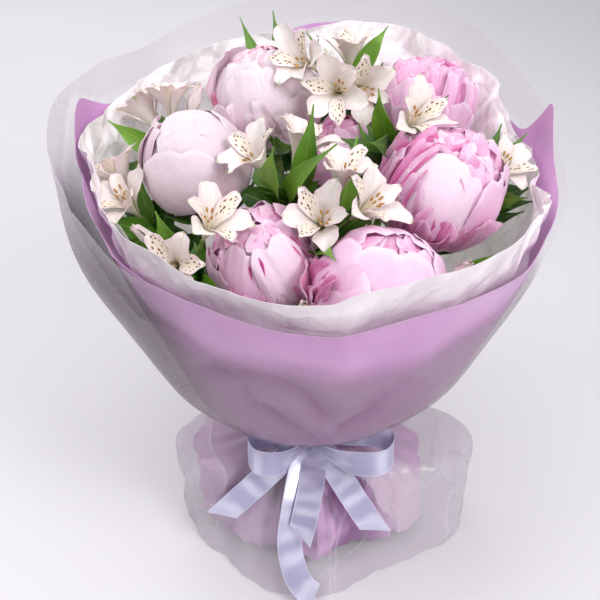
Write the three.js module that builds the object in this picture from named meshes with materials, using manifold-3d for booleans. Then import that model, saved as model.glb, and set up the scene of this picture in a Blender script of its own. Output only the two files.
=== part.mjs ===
// A wrapped bunch of seven peonies with alstroemeria, standing on its cut stem ends.
// Millimetres, +Z up, +X right and +Y away from the viewer. The origin is the middle of the
// centre stem's cut end, on the surface that the bunch stands on.
import * as THREE from 'three';
import { mergeVertices } from 'three/addons/utils/BufferGeometryUtils.js';
import Module from 'manifold-3d';

const wasm = await Module();
wasm.setup();

// ---- driving dimensions ----
const TIE_HEIGHT = 130;          // the string and ribbon sit here
const STEM_GAP = 0.35;           // clearance between pieces that touch
const PEONY_STEM_RADIUS = 4;
const SPRAY_STEM_RADIUS = 2.75;
const INNER_RING = 2 * PEONY_STEM_RADIUS + 0.6;    // peony stems round the centre stem, at the tie
const OUTER_RING = INNER_RING + PEONY_STEM_RADIUS + SPRAY_STEM_RADIUS + 0.45;
const INNER_TILT = 14 * Math.PI / 180;             // the spiral's lean at the tie
const OUTER_TILT = 22 * Math.PI / 180;
const STRING_RADIUS = 1.2;
const SHEET = 0.7;               // thickness that stands for tissue, paper and film
const BLADE = 0.8;               // thickness of petals and leaves
// The bowl of the wrap: its radius at each height.
const BOWL = [[150, 46], [180, 104], [230, 146], [300, 178], [370, 203], [440, 208]];
const SHEET_SIDES = 24;
const RIBBON_WIDTH = 25;
const PINCH = 0.3;               // share of the ribbon's width left where the knot grips it
const RIBBON = 0.9;
const CORE = 0.62;               // bloom core, as a share of the bloom's radius

const GREEN = { color: 0x4f8a2c, roughness: 0.55, metalness: 0 };
const STEM_GREEN = { color: 0x6f9a4a, roughness: 0.6, metalness: 0 };
const PALE_PINK = { color: 0xf0dce2, roughness: 0.65, metalness: 0 };
const PINK = { color: 0xeec0da, roughness: 0.65, metalness: 0 };
const CREAM = { color: 0xf6efe0, roughness: 0.6, metalness: 0 };
const TISSUE = { color: 0xf4f1f4, roughness: 0.7, metalness: 0 };
const LILAC = { color: 0xc08fc4, roughness: 0.5, metalness: 0 };
const FILM = { color: 0xe6e0ea, roughness: 0.35, metalness: 0 };
const SATIN = { color: 0xc9cbe6, roughness: 0.3, metalness: 0 };
const TWINE = { color: 0xb9a77f, roughness: 0.8, metalness: 0 };

// Each bloom: where its middle is, its radius, and how far its petals reach round it.
const BLOOMS = [
  { name: 'peony_1', centre: [-98, 2, 403], radius: 46, reach: 150, ruffle: 0.02, paint: PALE_PINK },
  { name: 'peony_2', centre: [-38, 70, 437], radius: 48, reach: 140, ruffle: 0.05, paint: PALE_PINK },
  { name: 'peony_3', centre: [106, 98, 421], radius: 46, reach: 138, ruffle: 0.06, paint: PINK },
  { name: 'peony_4', centre: [107, -24, 393], radius: 50, reach: 146, ruffle: 0.05, paint: PINK },
  { name: 'peony_5', centre: [30, 37, 395], radius: 36, reach: 142, ruffle: 0.05, paint: PINK },
  { name: 'peony_6', centre: [-38, -79, 355], radius: 44, reach: 150, ruffle: 0.05, paint: PINK },
  { name: 'peony_7', centre: [51, -122, 351], radius: 50, reach: 158, ruffle: 0.03, paint: PINK },
];
const CENTRE_BLOOM = 'peony_5';
const INNER_ORDER = ['peony_4', 'peony_3', 'peony_2', 'peony_1', 'peony_6', 'peony_7'];
const INNER_START = -110;         // degrees round the tie, of the first peony stem
const OUTER_START = 115;         // degrees round the tie, of the first alstroemeria stem

// Each alstroemeria stem: the top it branches from, then its open flowers, its buds and the
// tips of its leaves. They are listed in their order round the tie.
const SPRAYS = [
  {
    name: 'alstroemeria_3', top: [-100, -74, 346],
    flowers: [[-72, -104, 406], [-106, -128, 378]], buds: [[-142, -62, 374]],
    leaves: [[-121, -83, 400], [-162, -84, 364], [-128, -110, 370], [-62, -144, 350]],
  },
  {
    name: 'alstroemeria_7', top: [-23, -28, 391],
    flowers: [[-50, -44, 434], [-6, -24, 440]], buds: [],
    leaves: [[-29, -92, 455], [16, -105, 462], [0, -66, 478]],
  },
  {
    name: 'alstroemeria_8', top: [12, -62, 368],
    flowers: [[24, -68, 432], [2, -98, 402], [46, -96, 414]], buds: [],
    leaves: [[22, -138, 382], [66, -70, 414], [36, -26, 440]],
  },
  {
    name: 'alstroemeria_12', top: [-8, -106, 308],
    flowers: [], buds: [[-7, -142, 352]],
    leaves: [[-34, -136, 340], [8, -150, 330]],
  },
  {
    name: 'alstroemeria_9', top: [100, -84, 322],
    flowers: [], buds: [[118, -110, 368]],
    leaves: [[158, -104, 380], [94, -138, 360], [160, -70, 362]],
  },
  {
    name: 'alstroemeria_11', top: [150, 18, 368],
    flowers: [[166, -4, 408]], buds: [],
    leaves: [[186, 22, 424], [166, 34, 428], [182, -24, 384]],
  },
  {
    name: 'alstroemeria_10', top: [70, 20, 418],
    flowers: [[88, -14, 452]], buds: [],
    leaves: [[54, 4, 468], [112, 6, 462], [44, -44, 440]],
  },
  {
    name: 'alstroemeria_5', top: [36, 92, 440],
    flowers: [[34, 92, 484], [-14, 32, 486], [44, 40, 458], [18, 10, 464]], buds: [],
    leaves: [[69, 98, 496], [-4, 73, 496], [62, 60, 474]],
  },
  {
    name: 'alstroemeria_4', top: [-20, 136, 395],
    flowers: [[-29, 118, 460]], buds: [],
    leaves: [[-67, 145, 494], [-36, 160, 496], [8, 144, 474]],
  },
  {
    name: 'alstroemeria_1', top: [-124, 50, 388],
    flowers: [[-154, 78, 428], [-126, 62, 448]], buds: [[-98, 46, 456]],
    leaves: [[-153, 14, 425], [-184, 60, 422], [-150, 100, 420]],
  },
  {
    name: 'alstroemeria_2', top: [-142, -8, 350],
    flowers: [[-170, 6, 402], [-160, -30, 388]], buds: [],
    leaves: [[-152, 14, 402], [-184, 36, 396], [-178, -40, 372]],
  },
];

// ---- small tools ----
const vec = (a) => new THREE.Vector3(a[0], a[1], a[2]);
const radians = (degrees) => degrees * Math.PI / 180;
const mix = (a, b, t) => a + (b - a) * t;
const smooth = (t) => {
  const c = Math.min(1, Math.max(0, t));
  return c * c * (3 - 2 * c);
};

function seededRandom(seed) {
  let state = seed;
  return () => {
    state = (state * 1664525 + 1013904223) % 4294967296;
    return state / 4294967296;
  };
}

function geometryOf(points, faces) {
  const geometry = new THREE.BufferGeometry();
  const numbers = points.flatMap((p) => [p.x, p.y, p.z]);
  geometry.setAttribute('position', new THREE.Float32BufferAttribute(numbers, 3));
  geometry.setIndex(faces.flat());
  return geometry;
}

function toManifold(geometry) {
  const plain = geometry.clone();
  plain.deleteAttribute('normal');
  plain.deleteAttribute('uv');
  const merged = mergeVertices(plain, 1e-4);
  const mesh = new wasm.Mesh({
    numProp: 3,
    vertProperties: new Float32Array(merged.attributes.position.array),
    triVerts: new Uint32Array(merged.index.array),
  });
  return new wasm.Manifold(mesh);
}

function toGeometry(manifold) {
  const mesh = manifold.getMesh();
  const geometry = new THREE.BufferGeometry();
  geometry.setAttribute('position', new THREE.BufferAttribute(new Float32Array(mesh.vertProperties), 3));
  geometry.setIndex(new THREE.BufferAttribute(new Uint32Array(mesh.triVerts), 1));
  return geometry;
}

// Joins geometries into one body. Sealed pockets are filled and loose scraps are dropped.
function joined(geometries) {
  let whole = toManifold(geometries[0]);
  for (const geometry of geometries.slice(1)) {
    whole = whole.add(toManifold(geometry));
  }
  const bodies = whole.decompose();
  bodies.sort((a, b) => b.volume() - a.volume());
  return bodies[0];
}

// The faces of a grid of points: each row holds as many points as the next, or just one.
function gridFaces(rows, closed) {
  const faces = [];
  const start = [];
  let count = 0;
  for (const row of rows) {
    start.push(count);
    count += row.length;
  }
  for (let i = 0; i + 1 < rows.length; i++) {
    const here = rows[i].length;
    const next = rows[i + 1].length;
    const cells = closed ? Math.max(here, next) : Math.max(here, next) - 1;
    for (let j = 0; j < cells; j++) {
      const k = (j + 1) % Math.max(here, next);
      if (here === 1) {
        faces.push([start[i], start[i + 1] + k, start[i + 1] + j]);
      } else if (next === 1) {
        faces.push([start[i] + j, start[i] + k, start[i + 1]]);
      } else {
        faces.push([start[i] + j, start[i] + k, start[i + 1] + k]);
        faces.push([start[i] + j, start[i + 1] + k, start[i + 1] + j]);
      }
    }
  }
  return faces;
}

function vertexNormals(points, faces) {
  const normals = points.map(() => new THREE.Vector3());
  for (const [a, b, c] of faces) {
    const ab = points[b].clone().sub(points[a]);
    const ac = points[c].clone().sub(points[a]);
    const n = ab.cross(ac);
    normals[a].add(n);
    normals[b].add(n);
    normals[c].add(n);
  }
  normals.forEach((n) => n.normalize());
  return normals;
}

// A sheet of even thickness round a surface, with both faces split alike.
function thickened(points, faces, thickness) {
  const normals = vertexNormals(points, faces);
  const top = points.map((p, i) => p.clone().addScaledVector(normals[i], thickness / 2));
  const bottom = points.map((p, i) => p.clone().addScaledVector(normals[i], -thickness / 2));
  const n = points.length;
  const all = faces.slice();
  const edges = new Set(faces.flatMap(([a, b, c]) => [`${a},${b}`, `${b},${c}`, `${c},${a}`]));
  for (const [a, b, c] of faces) {
    all.push([a + n, c + n, b + n]);
  }
  for (const edge of edges) {
    const [a, b] = edge.split(',').map(Number);
    if (!edges.has(`${b},${a}`)) {
      all.push([b, a, a + n], [b, a + n, b + n]);
    }
  }
  return geometryOf(top.concat(bottom), all);
}

function sheet(rows, thickness, closed = false) {
  return thickened(rows.flat(), gridFaces(rows, closed), thickness);
}

// A round rod through the given points, with its own radius at each of them.
function rod(points, radii, sides) {
  const curve = new THREE.CatmullRomCurve3(points);
  const steps = points.length - 1;
  const frames = curve.computeFrenetFrames(steps, false);
  const rows = [[points[0]]];
  for (let i = 0; i <= steps; i++) {
    const middle = points[i];
    const row = [];
    for (let j = 0; j < sides; j++) {
      const angle = 2 * Math.PI * j / sides;
      row.push(middle.clone()
        .addScaledVector(frames.normals[i], Math.cos(angle) * radii[i])
        .addScaledVector(frames.binormals[i], Math.sin(angle) * radii[i]));
    }
    rows.push(row);
  }
  rows.push([points[steps]]);
  return geometryOf(rows.flat(), gridFaces(rows, true));
}

// A point pushed out of every bloom but its own, so that stems, leaves and florets bend round
// the blooms.
function clearOfBlooms(point, margin, own = null) {
  for (let pass = 0; pass < 3; pass++) {
    for (const bloom of BLOOMS.filter((other) => other.name !== own)) {
      const centre = vec(bloom.centre);
      const offset = point.clone().sub(centre);
      const limit = bloom.radius * 1.09 + margin;
      if (offset.length() < limit) {
        point = centre.add(offset.setLength(limit));
      }
    }
  }
  return point;
}

// A point kept inside the tissue.
function insideWrap(point, margin) {
  const radius = Math.hypot(point.x, point.y);
  const share = Math.min(1, (bowlRadius(point.z) - margin) / radius);
  return new THREE.Vector3(point.x * share, point.y * share, point.z);
}

// ---- where the stems run ----
const FAN_POINT = new THREE.Vector3(0, 10, 150);     // the blooms face away from here

function bloomAxis(bloom) {
  return vec(bloom.centre).sub(FAN_POINT).normalize();
}

// The stem's place and direction at the tie, in a ring of leaning stems.
function tiePlace(ringRadius, tilt, angle) {
  const place = new THREE.Vector3(ringRadius * Math.cos(angle), ringRadius * Math.sin(angle), TIE_HEIGHT);
  const direction = new THREE.Vector3(
    -Math.sin(angle) * Math.sin(tilt), Math.cos(angle) * Math.sin(tilt), Math.cos(tilt));
  return { place, direction };
}

// Points from just under the surface, straight through the tie, then bending to the head.
function stemRoute(tie, end, endDirection, steps, own = null) {
  const below = (TIE_HEIGHT + 6) / tie.direction.z;
  const points = [tie.place.clone().addScaledVector(tie.direction, -below)];
  points.push(tie.place.clone().addScaledVector(tie.direction, -35));
  const lift = tie.place.distanceTo(end);
  const bend = new THREE.CubicBezierCurve3(
    tie.place,
    tie.place.clone().addScaledVector(tie.direction, lift * 0.36),
    end.clone().addScaledVector(endDirection, -lift * 0.3),
    end);
  for (let i = 0; i <= steps; i++) {
    points.push(clearOfBlooms(bend.getPoint(i / steps), PEONY_STEM_RADIUS + 1, own));
  }
  return points;
}

// Cuts a stem level with the surface, so that it stands on its cut end.
function cutLevel(manifold) {
  const below = new THREE.BoxGeometry(400, 400, 60);
  below.translate(0, 0, -30);
  return manifold.subtract(toManifold(below));
}

// ---- peonies ----
function polar(radius, fromBottom, azimuth) {
  return new THREE.Vector3(
    radius * Math.sin(fromBottom) * Math.cos(azimuth),
    radius * Math.sin(fromBottom) * Math.sin(azimuth),
    -radius * Math.cos(fromBottom));
}

// One petal: a curved blade that wraps the bloom from its root up to its tip.
function petal(bloomRadius, layer, azimuth, wave) {
  const rows = [];
  const root = radians(24);
  const widths = [0.3, 0.9, 1, 0.5];
  for (let i = 0; i <= 3; i++) {
    const v = i / 3;
    const fromBottom = mix(root, radians(layer.reach), v);
    const row = [];
    const across = i === 0 ? [0] : [-1, 0, 1];
    for (const u of across) {
      const radius = bloomRadius * mix(0.45, layer.size, smooth(v / 0.36)) * (1 + 0.035 * u);
      const arc = bloomRadius * layer.halfWidth * widths[i];
      const turn = u * arc / (radius * Math.max(0.42, Math.sin(fromBottom)));
      const ruffled = radius + bloomRadius * wave * v * Math.sin(7 * (azimuth + turn));
      const dip = i === 3 && u === 0 ? radians(9) : 0;
      row.push(polar(ruffled, fromBottom + dip, azimuth + turn));
    }
    rows.push(row);
  }
  return sheet(rows, BLADE);
}

function peonyBloom(bloom, seed) {
  const random = seededRandom(seed);
  const core = new THREE.SphereGeometry(bloom.radius * CORE, 6, 4);
  core.rotateX(Math.PI / 2);
  const layers = [
    { count: 5, size: 1.0, reach: bloom.reach - 32, halfWidth: 0.64 },
    { count: 3, size: 0.86, reach: bloom.reach - 6, halfWidth: 0.72 },
    { count: 2, size: 0.73, reach: Math.min(164, bloom.reach + 12), halfWidth: 0.6 },
  ];
  const pieces = [core];
  for (const layer of layers) {
    const first = random() * 2 * Math.PI;
    for (let i = 0; i < layer.count; i++) {
      const azimuth = first + (i + 0.2 * (random() - 0.5)) * 2 * Math.PI / layer.count;
      pieces.push(petal(bloom.radius, layer, azimuth, bloom.ruffle));
    }
  }
  const geometry = toGeometry(joined(pieces));
  const turn = new THREE.Quaternion().setFromUnitVectors(new THREE.Vector3(0, 0, 1), bloomAxis(bloom));
  geometry.applyQuaternion(turn);
  geometry.translate(...bloom.centre);
  return geometry;
}

// A cup with pointed lobes, as one sheet: its apex, a ring where the lobes part, then each
// lobe's two widest points and its tip, from place(lobe, stage) with stages apex to tip.
function lobedCup(lobes, place, thickness) {
  const points = [place(0, 'apex')[0]];
  const faces = [];
  for (let i = 0; i < lobes; i++) {
    points.push(place(i, 'part')[0]);
  }
  for (let i = 0; i < lobes; i++) {
    const from = 1 + i;
    const to = 1 + (i + 1) % lobes;
    const [left, right] = place(i, 'wide');
    const [tip] = place(i, 'tip');
    const first = points.length;
    points.push(left, right, tip);
    faces.push([0, to, from], [from, to, first + 1]);
    faces.push([from, first + 1, first], [first, first + 1, first + 2]);
  }
  return thickened(points, faces, thickness);
}

// The sepals hug the bloom from below and meet at the top of its stem.
function calyx(bloomRadius, lobes) {
  const step = 2 * Math.PI / lobes;
  const place = (i, stage) => {
    const tip = i % 2 ? 54 : 61;
    const reach = (angle, size, turn) => polar(bloomRadius * size, radians(angle), (i + turn) * step);
    return {
      apex: () => [new THREE.Vector3(0, 0, -bloomRadius * CORE - STEM_GAP - BLADE / 2)],
      part: () => [reach(26, 0.78, -0.5)],
      wide: () => [reach(42, 1.06, -0.3), reach(42, 1.06, 0.3)],
      tip: () => [reach(tip, 1.1, 0)],
    }[stage]();
  };
  return lobedCup(lobes, place, BLADE);
}

function peonyStem(bloom, tie) {
  const axis = bloomAxis(bloom);
  const top = vec(bloom.centre).addScaledVector(axis, -bloom.radius * CORE - STEM_GAP - BLADE / 2);
  const route = stemRoute(tie, top, axis, 5, bloom.name);
  const cup = calyx(bloom.radius, 5);
  cup.applyQuaternion(new THREE.Quaternion().setFromUnitVectors(new THREE.Vector3(0, 0, 1), axis));
  cup.translate(...bloom.centre);
  return toGeometry(cutLevel(joined([rod(route, route.map(() => PEONY_STEM_RADIUS), 6), cup])));
}

// ---- alstroemeria ----
const FLORET_DEPTH = 33;         // from the flower's base to its mouth
const PETIOLE_DROP = 4;          // leaves and flower stalks start this far under the top

// Outwards, upwards and half width of the widest part of a tepal, then outwards and upwards
// of its tip.
const OUTER_TEPAL = { wide: [16, 26, 8.5], tip: [26, 34] };
const INNER_TEPAL = { wide: [11, 29, 6], tip: [19, 38] };
const CLOSED_TEPAL = { wide: [5, 22, 4.2], tip: [1.5, 37] };

// A floret at its base, facing along the given direction, bent clear of the blooms.
function floret(base, facing, open, spin) {
  const turn = new THREE.Quaternion().setFromUnitVectors(new THREE.Vector3(0, 0, 1), facing);
  const lobes = open ? 6 : 3;
  const shape = (i) => {
    if (!open) {
      return CLOSED_TEPAL;
    }
    return i % 2 ? INNER_TEPAL : OUTER_TEPAL;
  };
  const local = (outwards, upwards, across, azimuth) => new THREE.Vector3(
    outwards * Math.cos(azimuth) - across * Math.sin(azimuth),
    outwards * Math.sin(azimuth) + across * Math.cos(azimuth),
    upwards);
  const inPlace = (p) => insideWrap(clearOfBlooms(p.applyQuaternion(turn).add(base), 0.9), 9);
  const place = (i, stage) => {
    const azimuth = spin + i * 2 * Math.PI / lobes;
    const { wide, tip } = shape(i);
    return {
      apex: () => [local(0, 0, 0, 0)],
      part: () => [local(open ? 5 : 3.5, open ? 12 : 9, 0, azimuth - Math.PI / lobes)],
      wide: () => [local(wide[0], wide[1], -wide[2], azimuth), local(wide[0], wide[1], wide[2], azimuth)],
      tip: () => [local(tip[0], tip[1], 0, azimuth)],
    }[stage]().map(inPlace);
  };
  return lobedCup(lobes, place, BLADE);
}

// Where a flower's base is, and which way it faces, seen from the top of its stem.
function floretSeat(top, mouth) {
  const facing = mouth.clone().sub(top).normalize();
  return { facing, base: mouth.clone().addScaledVector(facing, -FLORET_DEPTH) };
}

// A long pointed leaf from its root to its tip, arched and slightly twisted.
function leaf(root, tip, sideways, width) {
  const rise = tip.clone().sub(root);
  const side = new THREE.Vector3().crossVectors(rise, sideways).normalize();
  const arch = new THREE.Vector3().crossVectors(side, rise).normalize().multiplyScalar(rise.length() * 0.16);
  const bend = new THREE.QuadraticBezierCurve3(root, root.clone().lerp(tip, 0.5).add(arch), tip);
  const shares = [0.25, 0.95, 0.85, 0];
  const rows = shares.map((share, i) => {
    const middle = bend.getPoint(i / (shares.length - 1));
    const half = side.clone().multiplyScalar(width / 2 * share);
    const row = share === 0 ? [middle] : [middle.clone().sub(half), middle.clone().add(half)];
    return i === 0 ? row : row.map((p) => insideWrap(clearOfBlooms(p, 0.8), 9));
  });
  return sheet(rows, BLADE);
}

function sprayStem(spray, tie) {
  const top = vec(spray.top);
  const up = top.clone().sub(FAN_POINT).normalize();
  const route = stemRoute(tie, top, up, 4);
  const radii = route.map((p, i) => mix(SPRAY_STEM_RADIUS, 1.9, Math.max(0, i - 2) / 4));
  const pieces = [rod(route, radii, 5)];
  const fork = top.clone().addScaledVector(up, -PETIOLE_DROP);
  for (const mouth of [...spray.flowers, ...spray.buds].map(vec)) {
    const seat = floretSeat(top, mouth);
    const end = seat.base.clone().addScaledVector(seat.facing, -STEM_GAP);
    const middle = clearOfBlooms(fork.clone().lerp(end, 0.5), 2);
    pieces.push(rod([fork, middle, end], [1.6, 1.6, 1.8], 3));
  }
  for (const [i, tip] of spray.leaves.map(vec).entries()) {
    const root = top.clone().addScaledVector(up, -PETIOLE_DROP - 4 * (i + 1));
    const sideways = new THREE.Vector3(0.3 * (i % 3 - 1), -0.8, 0.6);
    pieces.push(leaf(root, tip, sideways, 15));
  }
  return toGeometry(cutLevel(joined(pieces)));
}

// ---- wraps ----
function bowlRadius(z) {
  const above = BOWL.findIndex(([height]) => height > z);
  const [low, high] = [BOWL.at(above - 1), BOWL.at(above)];
  return above < 1 ? BOWL.at(above)[1] : mix(low[1], high[1], (z - low[0]) / (high[0] - low[0]));
}

// A rounded bump round one direction, for the corners of a square sheet.
function corner(angle, at, size, sharpness) {
  return size * Math.pow(Math.max(0, Math.cos(angle - radians(at))), sharpness);
}

// The height of each sheet's rim, at degrees round the bunch.
const TISSUE_RIM = [[0, 400], [20, 420], [45, 462], [79, 479], [103, 467], [138, 449], [175, 422],
  [205, 413], [234, 405], [270, 386], [302, 398], [322, 412], [360, 400]];
const LILAC_RIM = [[0, 408], [5, 426], [11, 450], [17, 412], [30, 418], [60, 444], [80, 477],
  [105, 458], [140, 432], [157, 430], [168, 449], [178, 416], [205, 405], [221, 400], [234, 383],
  [267, 368], [301, 375], [331, 390], [360, 408]];
const FILM_RIM = [[0, 410], [14, 446], [41, 483], [60, 500], [90, 506], [118, 488], [139, 466],
  [174, 458], [206, 446], [222, 420], [238, 389], [273, 374], [318, 382], [334, 396], [360, 410]];

function heightAt(rim, angle) {
  const degrees = angle * 180 / Math.PI;
  const above = Math.max(1, rim.findIndex(([place]) => place >= degrees));
  const [low, high] = [rim[above - 1], rim[above]];
  return mix(low[1], high[1], (degrees - low[0]) / (high[0] - low[0]));
}

const WRAPS = [
  {
    name: 'tissue_lining', paint: TISSUE, offset: -1.5, lean: -5,
    rim: TISSUE_RIM, upperRows: [352], skirt: null,
  },
  {
    name: 'lilac_wrap', paint: LILAC, offset: 0, lean: 0,
    rim: LILAC_RIM, upperRows: [352],
    skirt: {
      shoulder: (a) => 58 + corner(a, 180, 60, 4) + corner(a, 0, 54, 4) + corner(a, 90, 50, 4),
      hem: (a) => 88 + corner(a, 180, 32, 4) + corner(a, 0, 28, 4) + corner(a, 90, 30, 4),
      hemHeight: 14,
    },
  },
  {
    name: 'frosted_film', paint: FILM, offset: 1.5, lean: 3,
    rim: FILM_RIM, upperRows: [405, 352],
    skirt: {
      shoulder: (a) => 68 + corner(a, 180, 68, 5) + corner(a, 0, 96, 5) + corner(a, 90, 70, 5),
      hem: (a) => 106 + corner(a, 180, 30, 5) + corner(a, 0, 66, 5) + corner(a, 90, 46, 5)
        + corner(a, 270, 17, 5),
      hemHeight: 0,
    },
  },
];
const NECK = 24.5;               // radius of the gathered paper at the tie
const NECK_PLEAT = 1.1;

// The sheet's rows from its rim, down the bowl, through the tie and out to its hem.
function wrapRows(wrap) {
  const rows = [];
  const row = (place) => {
    const points = [];
    for (let j = 0; j < SHEET_SIDES; j++) {
      const angle = 2 * Math.PI * j / SHEET_SIDES;
      const pleat = j % 2 ? 1 : -1;
      const [radius, z] = place(angle, pleat);
      points.push(new THREE.Vector3(radius * Math.cos(angle), radius * Math.sin(angle), z));
    }
    rows.push(points);
  };
  row((a) => {
    const rim = heightAt(wrap.rim, a);
    return [bowlRadius(rim) + wrap.offset + wrap.lean + 2 * Math.sin(7 * a), rim];
  });
  for (const height of wrap.upperRows) {
    row((a) => {
      const z = Math.min(height, heightAt(wrap.rim, a) - 6);
      const lean = wrap.lean * Math.max(0, z - 352) / 130;
      return [bowlRadius(z) + wrap.offset + lean + 1.2 * Math.sin(7 * a), z];
    });
  }
  row(() => [bowlRadius(231) + wrap.offset, 231]);
  row((a, pleat) => [bowlRadius(180) + wrap.offset + 0.8 * pleat, 180 - 0.6 * wrap.offset]);
  row((a, pleat) => [bowlRadius(150) + wrap.offset + 1.2 * pleat, 150 - 0.8 * wrap.offset]);
  row((a, pleat) => [NECK + wrap.offset + NECK_PLEAT * pleat, 141 - 0.5 * wrap.offset]);
  row((a, pleat) => [NECK + wrap.offset + NECK_PLEAT * pleat, 120 + 0.5 * wrap.offset]);
  if (!wrap.skirt) {
    row((a, pleat) => [NECK + 6 + wrap.offset + NECK_PLEAT * pleat, 110 + 0.5 * wrap.offset]);
    return rows;
  }
  const { shoulder, hem, hemHeight } = wrap.skirt;
  row((a, pleat) => [mix(NECK, shoulder(a), 0.55) + 1.5 * pleat, 112 + 0.8 * wrap.offset]);
  row((a, pleat) => [shoulder(a) + 2 * pleat, 97 + wrap.offset]);
  row((a) => [mix(shoulder(a), hem(a), 0.62) + 3 * Math.sin(9 * a), mix(97, hemHeight, 0.5)]);
  row((a) => [hem(a) + 3 * Math.sin(9 * a), hemHeight]);
  return rows;
}

// The hem row of a sheet that stands on the surface is brought down level with it.
function wrapSheet(wrap) {
  const geometry = sheet(wrapRows(wrap), SHEET, true);
  const position = geometry.attributes.position;
  for (let i = 0; i < position.count; i++) {
    if (wrap.skirt && position.getZ(i) < wrap.skirt.hemHeight + 1.2) {
      position.setZ(i, wrap.skirt.hemHeight);
    }
  }
  return geometry;
}

// ---- string and ribbon ----
function ring(innerRadius, outerRadius, low, high, sides) {
  const profile = [
    new THREE.Vector2(innerRadius, low), new THREE.Vector2(outerRadius, low),
    new THREE.Vector2(outerRadius, high), new THREE.Vector2(innerRadius, high),
    new THREE.Vector2(innerRadius, low),
  ];
  const geometry = new THREE.LatheGeometry(profile, sides);
  geometry.rotateX(Math.PI / 2);
  return geometry;
}

function string() {
  const inner = OUTER_RING + SPRAY_STEM_RADIUS + STEM_GAP;
  const geometry = ring(inner, inner + 2 * STRING_RADIUS, -3, 3, 16);
  geometry.translate(0, 0, TIE_HEIGHT);
  return geometry;
}

const BAND_SIDES = 14;
const BAND_RADIUS = (NECK + 1.5 + NECK_PLEAT + SHEET / 2 + 0.3) / Math.cos(Math.PI / BAND_SIDES);
const KNOT = new THREE.Vector3(0, -BAND_RADIUS - 6, TIE_HEIGHT);

// A strip of ribbon along hand-placed points, with its width along the given direction.
function strip(points, widthDirections, pinched) {
  const rows = points.map((p, i) => {
    const share = pinched.includes(i) ? PINCH : 1;
    const half = vec(widthDirections[i]).setLength(RIBBON_WIDTH / 2 * share);
    return [p.clone().sub(half), p.clone().add(half)];
  });
  return sheet(rows, RIBBON);
}

// Routes are counted from the knot. A tail's twist is in degrees, over its whole length.
const LOOPS = [
  [[0, 0, 3], [-24, -10, 6], [-48, -16, 6], [-63, -27, 2], [-54, -42, -4], [-30, -38, -8],
    [0, -6, -3]],
  [[0, 0, 3], [30, -10, 6], [62, -14, 6], [82, -26, 2], [72, -42, -5], [38, -36, -9], [0, -6, -3]],
];
const fromKnot = (route) => route.map((p) => KNOT.clone().add(vec(p)));

function loop(route) {
  const points = fromKnot(route);
  return strip(points, points.map(() => [0, -0.2, 0.98]), [0, points.length - 1]);
}

const TAILS = [
  { twist: 0, route: [[-4, -3, -1], [-26, -24, -8], [-58, -38, -32], [-94, -42, -66]] },
  { twist: 0, route: [[4, -3, -1], [20, -26, -10], [42, -46, -38], [64, -56, -72]] },
  {
    twist: 35,
    route: [[0, -4, -5], [-8, -24, -16], [-16, -56, -42], [-20, -73, -74], [-12, -88, -104],
      [4, -96, -122]],
  },
  { twist: -20, route: [[2, -4, -5], [3, -30, -18], [-4, -62, -40], [-10, -75, -60]] },
];

function tail({ twist, route }) {
  const points = fromKnot(route);
  const across = points.map((p, i) => {
    const along = points[Math.min(i + 1, points.length - 1)].clone().sub(points[Math.max(i - 1, 0)]);
    const turned = radians(twist) * i / (points.length - 1);
    const facing = new THREE.Vector3(Math.sin(turned), -Math.cos(turned), 0.4 * Math.cos(turned));
    return along.cross(facing).toArray();
  });
  return strip(points, across, [0]);
}

function ribbonBow() {
  const band = ring(BAND_RADIUS, BAND_RADIUS + RIBBON, TIE_HEIGHT - 5, TIE_HEIGHT + 5, BAND_SIDES);
  const knot = new THREE.SphereGeometry(9, 6, 4);
  knot.scale(1.2, 0.75, 0.85);
  knot.translate(KNOT.x, KNOT.y, KNOT.z);
  return toGeometry(joined([band, knot, ...LOOPS.map(loop), ...TAILS.map(tail)]));
}

// ---- the bunch ----
const bunch = new THREE.Group();

function addPiece(name, geometry, paint) {
  const mesh = new THREE.Mesh(geometry, new THREE.MeshStandardMaterial(paint));
  mesh.name = name;
  bunch.add(mesh);
}

function peonyTie(name) {
  if (name === CENTRE_BLOOM) {
    return { place: new THREE.Vector3(0, 0, TIE_HEIGHT), direction: new THREE.Vector3(0, 0, 1) };
  }
  const angle = radians(INNER_START + 60 * INNER_ORDER.indexOf(name));
  return tiePlace(INNER_RING, INNER_TILT, angle);
}

BLOOMS.forEach((bloom, i) => {
  addPiece(bloom.name, peonyBloom(bloom, 11 + i), bloom.paint);
  addPiece(`${bloom.name}_stem`, peonyStem(bloom, peonyTie(bloom.name)), STEM_GREEN);
});

SPRAYS.forEach((spray, i) => {
  const angle = radians(OUTER_START + i * 360 / SPRAYS.length);
  addPiece(`${spray.name}_stem`, sprayStem(spray, tiePlace(OUTER_RING, OUTER_TILT, angle)), GREEN);
  [...spray.flowers, ...spray.buds].forEach((mouth, j) => {
    const { base, facing } = floretSeat(vec(spray.top), vec(mouth));
    const open = j < spray.flowers.length;
    const kind = open ? 'floret' : 'bud';
    addPiece(`${spray.name}_${kind}_${j + 1}`, floret(base, facing, open, i + j), CREAM);
  });
});

for (const wrap of WRAPS) {
  addPiece(wrap.name, wrapSheet(wrap), wrap.paint);
}
addPiece('string_tie', string(), TWINE);
addPiece('ribbon_bow', ribbonBow(), SATIN);

export default bunch;
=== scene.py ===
"""A wrapped bunch of seven peonies with alstroemeria, finished for its picture.

The bunch's own sizes are in millimetres and degrees, +Z up, +X right, the viewer at -Y, with the
origin on the surface it stands on. Meshes are turned into metres when they are made.
"""
import math
import random
from dataclasses import dataclass

import bpy
import numpy as np
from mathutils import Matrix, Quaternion, Vector


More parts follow.
